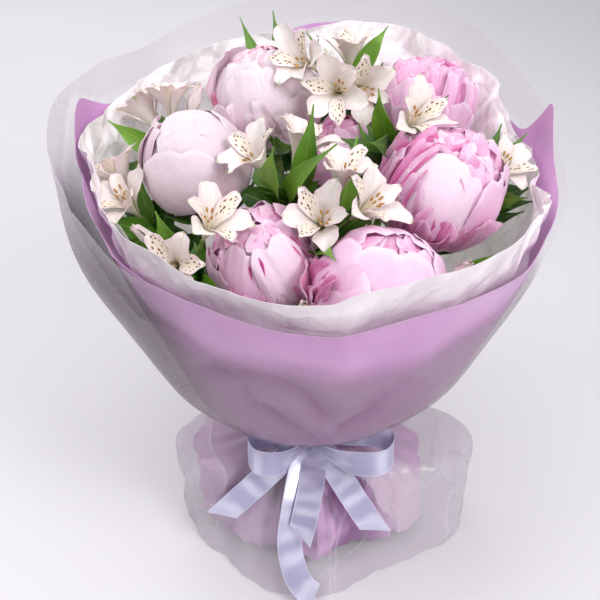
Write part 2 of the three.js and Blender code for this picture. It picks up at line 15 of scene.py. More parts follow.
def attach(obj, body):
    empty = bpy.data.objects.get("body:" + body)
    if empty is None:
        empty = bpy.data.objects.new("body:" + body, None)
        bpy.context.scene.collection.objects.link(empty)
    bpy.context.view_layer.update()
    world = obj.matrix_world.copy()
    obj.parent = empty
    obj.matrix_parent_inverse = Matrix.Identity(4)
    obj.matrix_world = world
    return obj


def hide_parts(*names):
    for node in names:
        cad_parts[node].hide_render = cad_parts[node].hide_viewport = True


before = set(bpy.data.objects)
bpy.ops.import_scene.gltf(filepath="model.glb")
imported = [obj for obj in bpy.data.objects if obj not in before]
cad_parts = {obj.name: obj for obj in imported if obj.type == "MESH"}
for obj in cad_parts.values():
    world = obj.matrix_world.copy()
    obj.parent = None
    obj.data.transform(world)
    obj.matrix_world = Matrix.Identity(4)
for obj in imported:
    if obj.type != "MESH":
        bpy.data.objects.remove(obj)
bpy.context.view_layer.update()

# ---- sizes that the bunch is built from ----
MM = 0.001
TIE_HEIGHT = 130
STEM_GAP = 0.35
PEONY_STEM_RADIUS = 4
SPRAY_STEM_RADIUS = 2.75
INNER_RING = 2 * PEONY_STEM_RADIUS + 0.6
OUTER_RING = INNER_RING + PEONY_STEM_RADIUS + SPRAY_STEM_RADIUS + 0.45
INNER_TILT = math.radians(14)
OUTER_TILT = math.radians(22)
INNER_START = -110                       # degrees round the bunch to each ring's first stem
OUTER_START = 115
FAN_POINT = Vector((0, 10, 150))         # the blooms face away from here
CORE = 0.62                              # where a bloom's stem ends, as a share of its radius
BOWL = [(150, 46), (180, 104), (230, 146), (300, 178), (370, 203), (440, 208)]   # height, radius
NECK = 24.5                              # radius of the gathered paper at the tie
WALL_MARGIN = 12                         # how far flowers and leaves keep from the tissue
FOLD_STRENGTH = 1.7                      # how much deeper the shared folds are made than they say
BOWL_DEGREE = 3.5                        # how long a degree round the bowl is
FLORET_DEPTH = 33
PETIOLE_DROP = 4
RIBBON_WIDTH = 25
BAND_HEIGHT = 10.8
PETAL_THICKNESS = 0.35
SEPAL_THICKNESS = 0.8
LEAF_THICKNESS = 0.5
PAPER_THICKNESS = 0.3
RIBBON_THICKNESS = 0.35
PETAL_ROOT = 24                          # degrees from a bloom's bottom to a petal's root
PETAL_ROWS = 23
PETAL_COLUMNS = 21
HEART_STEP = 137.5                       # degrees from one inner petal to the next
SEPALS = 5
LOWER_LEAVES = 16                        # on each alstroemeria stem
WRAP_COLUMNS = 360
TISSUE_COLUMNS = 490

# Where each kind of piece starts counting its seeds.
BLOOM_SEED = 11
SPRAY_SEED = 40
FLORET_SEED = 100

CAMERA_PLACE = (-0.010, -0.640, 0.665)   # metres
CAMERA_PITCH = 31.8                      # degrees below level
CAMERA_ANGLE = 41.11                     # degrees across the frame
FLOOR_LEVEL = -0.0004
SKY_TINT = (0.97, 0.96, 1.0, 1)
SKY_STRENGTH = 0.48

# Each light's place, the point it is turned to, its width in metres and its watts.
LIGHTS = {
    "key": ((0.9, -1.0, 1.4), (0, 0, 0.3), 0.6, 14),
    "fill": ((-0.9, -0.4, 1.6), (0, 0, 0.3), 0.8, 7),
    "top": ((0.0, -0.3, 1.8), (0, 0, 0.3), 0.9, 6),
    "low": ((0.4, -1.4, 0.4), (0, 0, 0.1), 0.4, 1.8),
    "back": ((-1.0, 2.3, 1.9), (-0.8, 2.2, 0), 2.6, 29),
}


@dataclass
class Petal:
    """A petal's place on its bloom: degrees round it and up it, and shares of its radius."""

    turn: float                          # degrees round the bloom, from the side that faces us
    reach: float                         # degrees from the bloom's bottom to the petal's tip
    half: float                          # half its width in degrees
    size: float = 1.0
    flare: float = 0.0                   # how far its tip leans out
    ruffle: float = 0.012
    fold: float = 0.0                    # how deep the crease along its middle is
    blush: float = 0.0                   # how deep its colour is (partly painted shade); below 0 is paler
    drop: float = 34.0                   # how far its corners are rounded off


@dataclass
class Bloom:
    """A peony's middle, its radius, its tint and its outer petals, then how its heart looks."""

    centre: tuple
    radius: float
    tint: str
    outer: list
    frill: float = 0.05                  # how ruffled its inner petals are
    heart: int = 16                      # how many inner petals it has
    heart_reach: float = 170.0
    heart_size: float = 0.9
    open: float = 0.0                    # how far its inner petals lean out
    deep: float = 0.0                    # how much deeper its colour is than the others'


BLOOMS = {
    "peony_1": Bloom((-98, 2, 403), 46, "pale", [
        Petal(-26, 130, 50, 1.055, ruffle=0.008),
        Petal(64, 102, 42, 1.03),
        Petal(42, 186, 58, 0.985, ruffle=0.008, drop=44),
        Petal(-24, 156, 44, 0.93),
        Petal(-92, 124, 40, 1.01, ruffle=0.03, blush=0.1),
        Petal(-78, 164, 18, 0.98, flare=0.07, fold=0.08, blush=0.2),
        Petal(-112, 160, 20, 1.0, flare=0.1, fold=0.07),
        Petal(118, 140, 50, 1.0),
        Petal(180, 146, 50, 0.99),
        Petal(-140, 138, 46, 1.01),
    ], frill=0.03, heart=16, heart_reach=172),
    "peony_2": Bloom((-38, 70, 437), 48, "pale", [
        Petal(-118, 152, 34, 1.0, flare=0.2, ruffle=0.02, fold=0.04),
        Petal(-2, 130, 40, 1.06, ruffle=0.018, drop=30),
        Petal(-48, 142, 40, 1.02, ruffle=0.02),
        Petal(54, 140, 42, 1.03, ruffle=0.02),
        Petal(22, 153, 38, 0.99, ruffle=0.02, blush=0.04),
        Petal(-24, 164, 36, 0.97, ruffle=0.02, blush=0.06),
        Petal(-70, 100, 14, 1.03, ruffle=0.05, fold=0.05, blush=0.5),
        Petal(-34, 100, 30, 1.07, flare=0.03, ruffle=0.04, fold=0.03),
        Petal(34, 96, 32, 1.08, flare=0.04, ruffle=0.035, fold=0.03),
        Petal(-6, 80, 24, 1.09, flare=0.05, ruffle=0.05, blush=0.08),
        Petal(88, 126, 42, 1.03, ruffle=0.03),
        Petal(146, 140, 44, 1.0, ruffle=0.03),
        Petal(-162, 146, 42, 1.0, ruffle=0.03),
    ], frill=0.035, heart=18, heart_reach=170, open=0.04),
    "peony_3": Bloom((106, 98, 421), 46, "pink", [
        Petal(-10, 112, 36, 1.045, ruffle=0.02),
        Petal(-48, 126, 40, 0.98, ruffle=0.03),
        Petal(34, 142, 20, 1.0, flare=0.08, fold=0.09, ruffle=0.02),
        Petal(64, 136, 22, 1.02, flare=0.1, fold=0.08, ruffle=0.02),
        Petal(56, 104, 36, 1.06, ruffle=0.035),
        Petal(-44, 84, 36, 1.06, ruffle=0.02),
        Petal(10, 136, 30, 0.94, ruffle=0.05, blush=0.2),
        Petal(-88, 112, 40, 1.03, ruffle=0.03),
        Petal(118, 130, 44, 1.03, ruffle=0.03),
        Petal(170, 136, 44, 1.0, ruffle=0.03),
        Petal(-136, 134, 44, 1.0, ruffle=0.03),
    ], frill=0.07, heart=26, heart_reach=163, heart_size=0.8, open=0.09, deep=0.12),
    "peony_4": Bloom((107, -24, 393), 50, "pink", [
        Petal(-1, 141, 37, 1.05, ruffle=0.01, blush=-0.24),
        Petal(-36, 156, 50, 0.97, ruffle=0.02),
        Petal(76, 142, 40, 1.05, flare=0.04, ruffle=0.02),
        Petal(44, 156, 30, 0.97, ruffle=0.03),
        Petal(-52, 114, 33, 1.04, flare=0.03, ruffle=0.025, blush=0.2),
        Petal(-90, 124, 38, 1.03, ruffle=0.04, blush=0.1),
        Petal(-66, 136, 26, 0.99, ruffle=0.05, blush=0.2),
        Petal(-30, 88, 27, 1.075, ruffle=0.02),
        Petal(8, 94, 19, 1.1, flare=0.05, ruffle=0.06, fold=0.08, blush=0.35),
        Petal(38, 98, 22, 1.11, flare=0.06, ruffle=0.06, fold=0.06, blush=0.2),
        Petal(-12, 82, 20, 1.11, flare=0.04, ruffle=0.05, fold=0.05, blush=0.15),
        Petal(-58, 148, 15, 1.03, flare=0.03, ruffle=0.05, fold=0.1, blush=0.5),
        Petal(-44, 132, 14, 1.07, flare=0.03, ruffle=0.05, fold=0.1, blush=0.4),
        Petal(-72, 122, 16, 1.08, flare=0.04, ruffle=0.05, fold=0.08, blush=0.3),
        Petal(112, 128, 44, 1.02, ruffle=0.03),
        Petal(165, 140, 46, 1.0, ruffle=0.03),
        Petal(-140, 138, 46, 1.0, ruffle=0.03),
    ], frill=0.06, heart=22, heart_reach=168, open=0.05),
    "peony_5": Bloom((30, 37, 395), 36, "pink", [
        Petal(-30, 122, 42, 1.04, ruffle=0.03),
        Petal(38, 114, 44, 1.06, ruffle=0.035),
        Petal(6, 146, 36, 0.97, ruffle=0.05),
        Petal(100, 122, 46, 1.02, ruffle=0.03),
        Petal(165, 128, 48, 1.0, ruffle=0.03),
        Petal(-100, 124, 46, 1.02, ruffle=0.03),
    ], frill=0.07, heart=20, heart_reach=166, open=0.06, deep=0.12),
    "peony_6": Bloom((-38, -79, 355), 44, "pink", [
        Petal(-72, 122, 36, 1.05, ruffle=0.02),
        Petal(-34, 152, 25, 1.03, ruffle=0.015, blush=-0.1),
        Petal(22, 156, 25, 1.055, ruffle=0.015, blush=-0.2),
        Petal(92, 150, 40, 1.0, ruffle=0.03, blush=0.15),
        Petal(66, 122, 22, 1.075, flare=0.05, ruffle=0.03),
        Petal(-6, 142, 15, 1.0, ruffle=0.04, fold=0.12, blush=0.8),
        Petal(44, 138, 15, 1.01, ruffle=0.04, fold=0.1, blush=0.6),
        Petal(-8, 96, 24, 1.08, flare=0.02, ruffle=0.045, fold=0.06, blush=0.15),
        Petal(26, 104, 20, 1.09, flare=0.02, ruffle=0.05, fold=0.06, blush=0.1),
        Petal(-40, 108, 18, 1.08, flare=0.02, ruffle=0.05, fold=0.06, blush=0.2),
        Petal(-110, 138, 34, 0.99, ruffle=0.05, blush=0.1),
        Petal(150, 142, 44, 0.98, ruffle=0.04),
        Petal(-160, 140, 40, 0.99, ruffle=0.05),
    ], frill=0.045, heart=22, heart_reach=172, open=0.03),
    "peony_7": Bloom((51, -122, 351), 50, "pink", [
        Petal(2, 190, 40, 1.04, ruffle=0.008, blush=-0.2),
        Petal(72, 172, 46, 1.0, ruffle=0.012, drop=44),
        Petal(-60, 152, 34, 1.05, ruffle=0.015),
        Petal(-84, 160, 34, 1.0, ruffle=0.02, blush=0.25),
        Petal(-74, 98, 22, 1.06, flare=0.16, ruffle=0.02, blush=0.15),
        Petal(-66, 124, 16, 1.07, flare=0.05, ruffle=0.05, fold=0.08, blush=0.3),
        Petal(-48, 104, 18, 1.08, flare=0.04, ruffle=0.05, fold=0.06, blush=0.2),
        Petal(44, 146, 30, 1.06, ruffle=0.02),
        Petal(-22, 128, 30, 1.075, ruffle=0.02),
        Petal(118, 148, 44, 1.02, ruffle=0.02),
        Petal(168, 152, 48, 1.0, ruffle=0.02),
        Petal(-136, 150, 44, 1.01, ruffle=0.03),
    ], frill=0.03, heart=14, heart_reach=174, deep=0.1),
}
INNER_ORDER = ("peony_4", "peony_3", "peony_2", "peony_1", "peony_6", "peony_7")


@dataclass
class Spray:
    """An alstroemeria stem: its top, its flowers' mouths, its buds and its leaves' tips."""

    top: tuple
    flowers: list
    buds: list
    leaves: list


SPRAYS = {
    "alstroemeria_3": Spray(
        (-100, -74, 346), [(-72, -104, 406), (-106, -128, 378)], [(-142, -62, 374)],
        [(-121, -83, 400), (-162, -84, 364), (-128, -110, 370), (-62, -144, 350)]),
    "alstroemeria_7": Spray(
        (-23, -28, 391), [(-50, -44, 434), (-6, -24, 440)], [],
        [(-29, -92, 455), (16, -105, 462), (0, -66, 478)]),
    "alstroemeria_8": Spray(
        (12, -62, 368), [(24, -68, 432), (2, -98, 402), (46, -96, 414)], [],
        [(22, -138, 382), (66, -70, 414), (36, -26, 440)]),
    "alstroemeria_12": Spray(
        (-8, -106, 308), [], [(-7, -142, 352)], [(-34, -136, 340), (8, -150, 330)]),
    "alstroemeria_9": Spray(
        (100, -84, 322), [], [(118, -110, 368)],
        [(158, -104, 380), (94, -138, 360), (160, -70, 362)]),
    "alstroemeria_11": Spray(
        (150, 18, 368), [(166, -4, 408)], [],
        [(186, 22, 424), (166, 34, 428), (182, -24, 384)]),
    "alstroemeria_10": Spray(
        (70, 20, 418), [(88, -14, 452)], [],
        [(54, 4, 468), (112, 6, 462), (44, -44, 440)]),
    "alstroemeria_5": Spray(
        (36, 92, 440), [(34, 92, 484), (-14, 32, 486), (44, 40, 458), (18, 10, 464)], [],
        [(69, 98, 496), (-4, 73, 496), (62, 60, 474)]),
    "alstroemeria_4": Spray(
        (-20, 136, 395), [(-29, 118, 460)], [],
        [(-67, 145, 494), (-36, 160, 496), (8, 144, 474)]),
    "alstroemeria_1": Spray(
        (-124, 50, 388), [(-154, 78, 428), (-126, 62, 448)], [(-98, 46, 456)],
        [(-153, 14, 425), (-184, 60, 422), (-150, 100, 420)]),
    "alstroemeria_2": Spray(
        (-142, -8, 350), [(-170, 6, 402), (-160, -30, 388)], [],
        [(-152, 14, 402), (-184, 36, 396), (-178, -40, 372)]),
}


# ---- small sums ----
def mix(a, b, share):
    """The value that lies so far on the way from a to b."""
    return a + (b - a) * share


def smooth(share):
    """0 below 0, 1 above 1 and a smooth step between them."""
    held = np.clip(share, 0, 1)
    return held * held * (3 - 2 * held)


def through(points, counts):
    """A smooth line through the given points, with so many steps in each span."""
    places = np.array(points, float)
    slopes = np.gradient(places, axis=0)
    line = []
    for i, count in enumerate(counts):
        t = np.linspace(0, 1, count, endpoint=False).reshape((-1,) + (1,) * (places.ndim - 1))
        line.append((2 * t**3 - 3 * t**2 + 1) * places[i] + (t**3 - 2 * t**2 + t) * slopes[i]
                    + (3 * t**2 - 2 * t**3) * places[i + 1] + (t**3 - t**2) * slopes[i + 1])
    return np.concatenate(line + [places[-1:]])


def bowl_radius(z):
    """The radius of the lilac wrap's bowl at a height."""
    heights, radii = zip(*BOWL)
    return np.interp(z, heights, radii)


def drawn_in(angles, heights):
    """How far the tissue and the paper keep inside the film, where it stands off on the left."""
    away = (np.degrees(angles) - 25) % 360 - 180
    rising = smooth((heights - 170) / 90) * (1 - 0.5 * smooth((heights - 340) / 90))
    return 22 * np.exp(-(away / 24) ** 2) * rising


def clear_of_blooms(point, margin, own=None):
    """The point pushed out of every bloom but its own."""
    for _ in range(3):
        for name, bloom in BLOOMS.items():
            if name == own:
                continue
            offset = point - Vector(bloom.centre)
            limit = bloom.radius * 1.09 + margin
            if offset.length < limit:
                point = Vector(bloom.centre) + offset.normalized() * limit
    return point


def inside_wrap(point):
    """The point kept inside the tissue."""
    radius = math.hypot(point.x, point.y)
    wall = bowl_radius(point.z) - drawn_in(math.atan2(point.y, point.x), point.z)
    share = min(1, (wall - WALL_MARGIN) / radius)
    return Vector((point.x * share, point.y * share, point.z))


def kept_clear(grid, margin):
    """A grid of points pushed out of the blooms and kept inside the tissue."""
    flat = [inside_wrap(clear_of_blooms(Vector(p), margin)) for p in grid.reshape(-1, 3)]
    return np.array(flat).reshape(grid.shape)


def creases(places, size, seed, folds=10):
    """A height near -1 to 1 at each place: flat facets between straight folds, as in crumpled
    paper."""
    chance = random.Random(seed)
    total = 0
    for _ in range(folds):
        direction = np.array([chance.gauss(0, 1) for _ in range(3)])
        direction /= np.linalg.norm(direction)
        drift = np.array([chance.gauss(0, 1) for _ in range(3)]) / (size * 2.5)
        bend = 0.4 * np.sin(places @ drift + chance.uniform(0, 6.3))
        run = places @ direction / (size * chance.uniform(0.7, 1.9)) + bend + chance.uniform(0, 2)
        here = 0.5 + 0.5 * np.sin(places @ drift[::-1] * 1.6 + chance.uniform(0, 6.3))
        total = total + here * (np.abs(run % 2 - 1) * 2 - 1)
    return total * 1.6 / folds**0.5


def facing_of(grid, closed):
    """The unit normal at each point of a grid."""
    padded = np.concatenate([grid[:, -1:], grid, grid[:, :1]], axis=1) if closed else grid
    across = np.gradient(padded, axis=1)[:, 1:-1] if closed else np.gradient(padded, axis=1)
    normal = np.cross(across, np.gradient(grid, axis=0))
    return normal / np.maximum(np.linalg.norm(normal, axis=2, keepdims=True), 1e-9)


# ---- new objects and nodes ----
def placed(name, data):
    """A new object in the scene."""
    made = bpy.data.objects.new(name, data)
    bpy.context.scene.collection.objects.link(made)
    return made


def new_node(tree, kind, settings, values):
    """A new node in a tree: its settings first, then the values or links of its inputs."""
    made = tree.nodes.new(kind)
    for key, value in (settings or {}).items():
        setattr(made, key, value)
    for key, value in (values or {}).items():
        if isinstance(value, bpy.types.NodeSocket):
            tree.links.new(value, made.inputs[key])
        else:
            made.inputs[key].default_value = value
    return made


# ---- meshes ----
class Skin:
    """Thin sheets and round parts, gathered into one mesh with its finishes."""

    def __init__(self):
        self.points = []
        self.faces = []
        self.uv = []
        self.shade = []
        self.under = []
        self.finish = []
        self.finishes = []

    def slot_of(self, finish):
        """The number of a finish on this mesh, which is added if it is new."""
        if finish not in self.finishes:
            self.finishes.append(finish)
        return self.finishes.index(finish)

    def add_sheet(self, grid, thickness, finish, shade=0.0, closed=False):
        """Adds a grid of points in millimetres as a sheet of even thickness with closed edges."""
        rows, columns = grid.shape[:2]
        half = facing_of(grid, closed) * thickness / 2
        start = sum(len(p) for p in self.points)
        self.points.append((grid + half).reshape(-1, 3))
        self.points.append((grid - half).reshape(-1, 3))
        index = np.arange(rows * columns).reshape(rows, columns) + start
        right = np.roll(index, -1, axis=1) if closed else index[:, 1:]
        left = index if closed else index[:, :-1]
        top = np.stack([left[:-1], right[:-1], right[1:], left[1:]], axis=-1).reshape(-1, 4)
        below = rows * columns
        rims = [self.rim(left[0], right[0], below), self.rim(right[-1], left[-1], below)]
        if not closed:
            rims.append(self.rim(index[1:, 0], index[:-1, 0], below))
            rims.append(self.rim(index[:-1, -1], index[1:, -1], below))
        rim = np.concatenate(rims)
        self.faces += [top, top[:, ::-1] + below, rim]
        self.under += [np.zeros(len(top)), np.ones(len(top)), np.full(len(rim), 0.5)]
        u, v = np.meshgrid(np.linspace(0, 1, columns), np.linspace(0, 1, rows))
        uv = np.stack([u, v], axis=-1).reshape(-1, 2)
        self.uv += [uv, uv]
        tone = np.broadcast_to(shade, (rows, columns)).reshape(-1)
        self.shade += [tone, tone]
        self.finish.append(np.full(2 * len(top) + len(rim), self.slot_of(finish)))

    @staticmethod
    def rim(start, end, below):
        """The narrow faces that join an edge of the upper side to the lower side."""
        return np.stack([end, start, start + below, end + below], axis=-1)

    def add_mesh(self, mesh, turn=None, place=None):
        """Adds a mesh that is in metres, turned and placed in millimetres, with its own finish; what
        would be below the surface, such as a stem's slanting end, is brought level with it."""
        start = sum(len(p) for p in self.points)
        points = [v.co / MM for v in mesh.vertices]
        if turn:
            points = [turn @ p + place for p in points]
        self.points.append(np.array(points))
        self.points[-1][:, 2] = np.maximum(self.points[-1][:, 2], 0.0)
        self.uv.append(np.zeros((len(points), 2)))
        self.shade.append(np.zeros(len(points)))
        self.faces.append([[start + i for i in face.vertices] for face in mesh.polygons])
        self.under.append(np.zeros(len(mesh.polygons)))
        self.finish.append(np.full(len(mesh.polygons), self.slot_of(mesh.materials[-1])))

    def piece(self, name, slot, *nodes, crease=50):
        """Makes the finished piece, which rides on the bunch and stands for the given nodes."""
        mesh = bpy.data.meshes.new(name)
        faces = [list(face) for part in self.faces for face in part]
        mesh.from_pydata(np.concatenate(self.points) * MM, [], faces)
        corners = np.zeros(len(mesh.loops), int)
        mesh.loops.foreach_get("vertex_index", corners)
        uv_map = mesh.uv_layers.new(name="UVMap")
        uv_map.data.foreach_set("uv", np.concatenate(self.uv)[corners].ravel())
        shade = mesh.attributes.new("shade", "FLOAT", "POINT")
        shade.data.foreach_set("value", np.concatenate(self.shade))
        under = mesh.attributes.new("under", "FLOAT", "FACE")
        under.data.foreach_set("value", np.concatenate(self.under))
        mesh.polygons.foreach_set("material_index", np.concatenate(self.finish).astype(int))
        mesh.polygons.foreach_set("use_smooth", np.ones(len(mesh.polygons), bool))
        for finish in self.finishes:
            mesh.materials.append(finish)
        mesh.set_sharp_from_angle(angle=math.radians(crease))
        mesh.update()
        piece = placed(name, mesh)
        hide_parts(*nodes)
        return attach(piece, "root")


# ---- geometry nodes ----
class Tree:
    """A geometry node tree with named inputs, from the incoming geometry to one finish."""

    def __init__(self, name, inputs):
        self.group = bpy.data.node_groups.new(name, "GeometryNodeTree")
        sockets = self.group.interface
        sockets.new_socket("Geometry", in_out="INPUT", socket_type="NodeSocketGeometry")
        self.identifiers = {}
        for label, kind in inputs.items():
            made = sockets.new_socket(label, in_out="INPUT", socket_type=kind)
            self.identifiers[label] = made.identifier
        sockets.new_socket("Geometry", in_out="OUTPUT", socket_type="NodeSocketGeometry")
        self.given = self.group.nodes.new("NodeGroupInput").outputs

    def node(self, kind, settings=None, values=None, output=0):
        """Adds a node and gives one of its outputs."""
        return new_node(self.group, kind, settings, values).outputs[output]

    def end(self, geometry):
        """Realises the instances, sets the finish and closes the tree."""
        real = self.node("GeometryNodeRealizeInstances", values={"Geometry": geometry})
        done = self.node("GeometryNodeSetMaterial",
                         values={"Geometry": real, "Material": self.given["Finish"]})
        self.group.links.new(done, self.group.nodes.new("NodeGroupOutput").inputs[0])
        return self

    def grown_on(self, source, **values):
        """The plain mesh that the tree makes from a curve, which is then removed."""
        holder = placed("grown", source)
        modifier = holder.modifiers.new("grow", "NODES")
        modifier.node_group = self.group
        for label, value in values.items():
            modifier[self.identifiers[label.replace("_", " ")]] = value
        evaluated = holder.evaluated_get(bpy.context.evaluated_depsgraph_get())
        mesh = bpy.data.meshes.new_from_object(evaluated)
        holder.modifiers.remove(modifier)
        bpy.data.objects.remove(holder)
        return mesh


def tube_tree():
    """Round rods along every line, tapering from root to head."""
    tree = Tree("rods", {"Root": "NodeSocketFloat", "Head": "NodeSocketFloat",
                         "Sides": "NodeSocketInt", "Finish": "NodeSocketMaterial"})
    share = tree.node("GeometryNodeSplineParameter")
    taper = tree.node("ShaderNodeMix", {"data_type": "FLOAT"},
                      {0: share, 2: tree.given["Root"], 3: tree.given["Head"]})
    profile = tree.node("GeometryNodeCurvePrimitiveCircle",
                        values={"Resolution": tree.given["Sides"], "Radius": 1.0})
    rods = tree.node("GeometryNodeCurveToMesh",
                     values={"Curve": tree.given["Geometry"], "Profile Curve": profile,
                             "Scale": taper, "Fill Caps": True})
    return tree.end(rods)


def grain_tree():
    """A long grain on the end of every line, such as an anther on its filament."""
    tree = Tree("grains", {"Length": "NodeSocketFloat", "Width": "NodeSocketFloat",
                           "Finish": "NodeSocketMaterial"})
    ball = tree.node("GeometryNodeMeshUVSphere", values={"Segments": 8, "Rings": 6, "Radius": 1.0})
    tip = tree.node("GeometryNodeCurveEndpointSelection", values={"Start Size": 0, "End Size": 1})
    turned = tree.node("FunctionNodeAlignRotationToVector", {"axis": "Z"},
                       {"Vector": tree.node("GeometryNodeInputTangent")})
    size = tree.node("ShaderNodeCombineXYZ", values={
        "X": tree.given["Width"], "Y": tree.given["Width"], "Z": tree.given["Length"]})
    grains = tree.node("GeometryNodeInstanceOnPoints", values={
        "Points": tree.given["Geometry"], "Selection": tip, "Instance": ball,
        "Rotation": turned, "Scale": size})
    return tree.end(grains)


def lines_of(paths):
    """Curve data, in metres, with one line for each path in millimetres."""
    curve = bpy.data.curves.new("lines", "CURVE")
    curve.dimensions = "3D"
    for path in paths:
        spline = curve.splines.new("POLY")
        spline.points.add(len(path) - 1)
        for point, place in zip(spline.points, path):
            point.co = (*(Vector(place) * MM), 1)
    return curve


# ---- shader sums ----
class Wire:
    """A shader socket in a sum; each sum on it adds its node."""

    def __init__(self, paint, socket):
        self.paint = paint
        self.socket = socket

    def sum(self, operation, *others):
        """The result of a sum on this socket and the others."""
        values = dict(enumerate((self, *others)))
        return self.paint.node("ShaderNodeMath", {"operation": operation}, values)

    def __add__(self, other):
        return self.sum("ADD", other)

    def __radd__(self, other):
        return self + other

    def __sub__(self, other):
        return self.sum("SUBTRACT", other)

    def __rsub__(self, other):
        return self * -1 + other

    def __mul__(self, other):
        return self.sum("MULTIPLY", other)

    def __rmul__(self, other):
        return self * other

    def __abs__(self):
        return self.sum("ABSOLUTE")

    def eased(self, low, high):
        """0 below low, 1 above high and a smooth step between them."""
        return self.paint.node("ShaderNodeMapRange", {"interpolation_type": "SMOOTHSTEP"},
                               {"Value": self, "From Min": low, "From Max": high})


class Paint:
    """A material that is put together from nodes."""

    def __init__(self, name):
        self.material = bpy.data.materials.new(name)
        self.material.use_nodes = True
        self.tree = self.material.node_tree
        self.tree.nodes.clear()

    def node(self, kind, settings=None, values=None, output=0):
        """Adds a node, whose values may be wires, and gives one of its outputs as a wire."""
        given = {key: value.socket if isinstance(value, Wire) else value
                 for key, value in (values or {}).items()}
        return Wire(self, new_node(self.tree, kind, settings, given).outputs[output])

    def blend(self, first, second, share):
        """A colour between two colours."""
        return self.node("ShaderNodeMix", {"data_type": "RGBA"}, {0: share, 6: first, 7: second}, 2)

    def own(self, attribute):
        """A value that the mesh holds: its shade, or under, which is 1 on a sheet's lower side."""
        return self.node("ShaderNodeAttribute", {"attribute_name": attribute}, output=2)

    def place(self):
        """The place on the piece, in metres."""
        return self.node("ShaderNodeTexCoord", output=3)

    def blade(self):
        """Across a blade, from -1 to 1, and along it, from 0 to 1."""
        uv = self.node("ShaderNodeUVMap", {"uv_map": "UVMap"})
        return self.part(uv, 0) * 2 - 1, self.part(uv, 1)

    def vector(self, x, y, z=0.0):
        """A vector of three parts."""
        return self.node("ShaderNodeCombineXYZ", values={0: x, 1: y, 2: z})

    def cloud(self, vector, scale, detail=2.0, roughness=0.5):
        """A soft uneven value, mostly near 0.5."""
        return self.node("ShaderNodeTexNoise", values={
            "Vector": vector, "Scale": scale, "Detail": detail, "Roughness": roughness})

    def cells(self, vector, scale):
        """The distance to the nearest of many scattered points."""
        return self.node("ShaderNodeTexVoronoi", values={"Vector": vector, "Scale": scale})

    def part(self, vector, axis):
        """One part of a vector: 0 for x, 1 for y and 2 for z."""
        return self.node("ShaderNodeSeparateXYZ", values={0: vector}, output=axis)

    def bump(self, height, depth, strength=1.0):
        """A normal from a height, whose full range is the given depth in millimetres."""
        return self.node("ShaderNodeBump", values={
            "Strength": strength, "Distance": depth * MM, "Height": height})

    def finish(self, **values):
        """Ends the material in one surface with the given inputs, and returns it."""
        keys = {key.replace("_", " "): value for key, value in values.items()}
        surface = self.node("ShaderNodeBsdfPrincipled", values=keys)
        end = self.tree.nodes.new("ShaderNodeOutputMaterial")
        self.tree.links.new(surface.socket, end.inputs[0])
        return self.material


def colour(red, green, blue):
    """A screen colour of 0 to 255 as the shader's linear colour."""
    def linear(value):
        share = value / 255
        return share / 12.92 if share <= 0.04045 else ((share + 0.055) / 1.055) ** 2.4
    return (linear(red), linear(green), linear(blue), 1.0)


# ---- finishes ----
def peony_petal(name, rim, body, heart):
    """Soft petal skin: paler at its rim, finely veined, and deeper towards its root and in its folds,
    partly its own colour and partly painted shade.
    """
    paint = Paint(name)
    across, along = paint.blade()
    blush = paint.own("shade")
    fan = paint.vector(across * 9, along * 1.6, blush * 7)
    veins = paint.cloud(fan, 3.2, 3.0, 0.6)
    mottle = paint.cloud(paint.place(), 42.0, 2.0)
    crumple = paint.cloud(paint.vector(across * 1.5, along * 2.4, blush * 7), 2.2, 3.0, 0.6)
    edge = along.eased(0.4, 1.0) * 0.6 + (mottle - 0.5) * 0.7 + along.eased(0.93, 1.0) * 0.5
    plain = paint.blend(body, rim, edge)
    palest = paint.blend(rim, colour(248, 232, 242), 0.3)
    skin = paint.blend(plain, palest, (blush * -1).eased(0.0, 0.3))
    lines = (1 - abs(veins - 0.5).eased(0.0, 0.05)) * (0.25 + blush)
    # deeper towards the root: partly the petal's own pinker base, partly painted shade where the petals
    # crowd together; the shade attribute adds more painted shade from folds and overlapped edges
    inner = (1 - along.eased(0.0, 0.45)) * 0.4
    deep = blush * 1.2 + inner + lines * 0.35 + (crumple - 0.5) * 0.5
    tinted = paint.blend(skin, heart, deep.eased(0.08, 1.1))
    root = 1 - along.eased(0.02, 0.16)
    coloured = paint.blend(tinted, colour(226, 120, 96), root * 0.6)
    return paint.finish(
        Base_Color=coloured, Roughness=0.52 + (veins - 0.5) * 0.2,
        Subsurface_Weight=0.15, Subsurface_Radius=(1.0, 0.5, 0.65), Subsurface_Scale=0.003,
        Sheen_Weight=0.12, Sheen_Roughness=0.5, Specular_IOR_Level=0.3,
        Normal=paint.bump(veins * 0.12 + crumple, 2.6, 0.5))


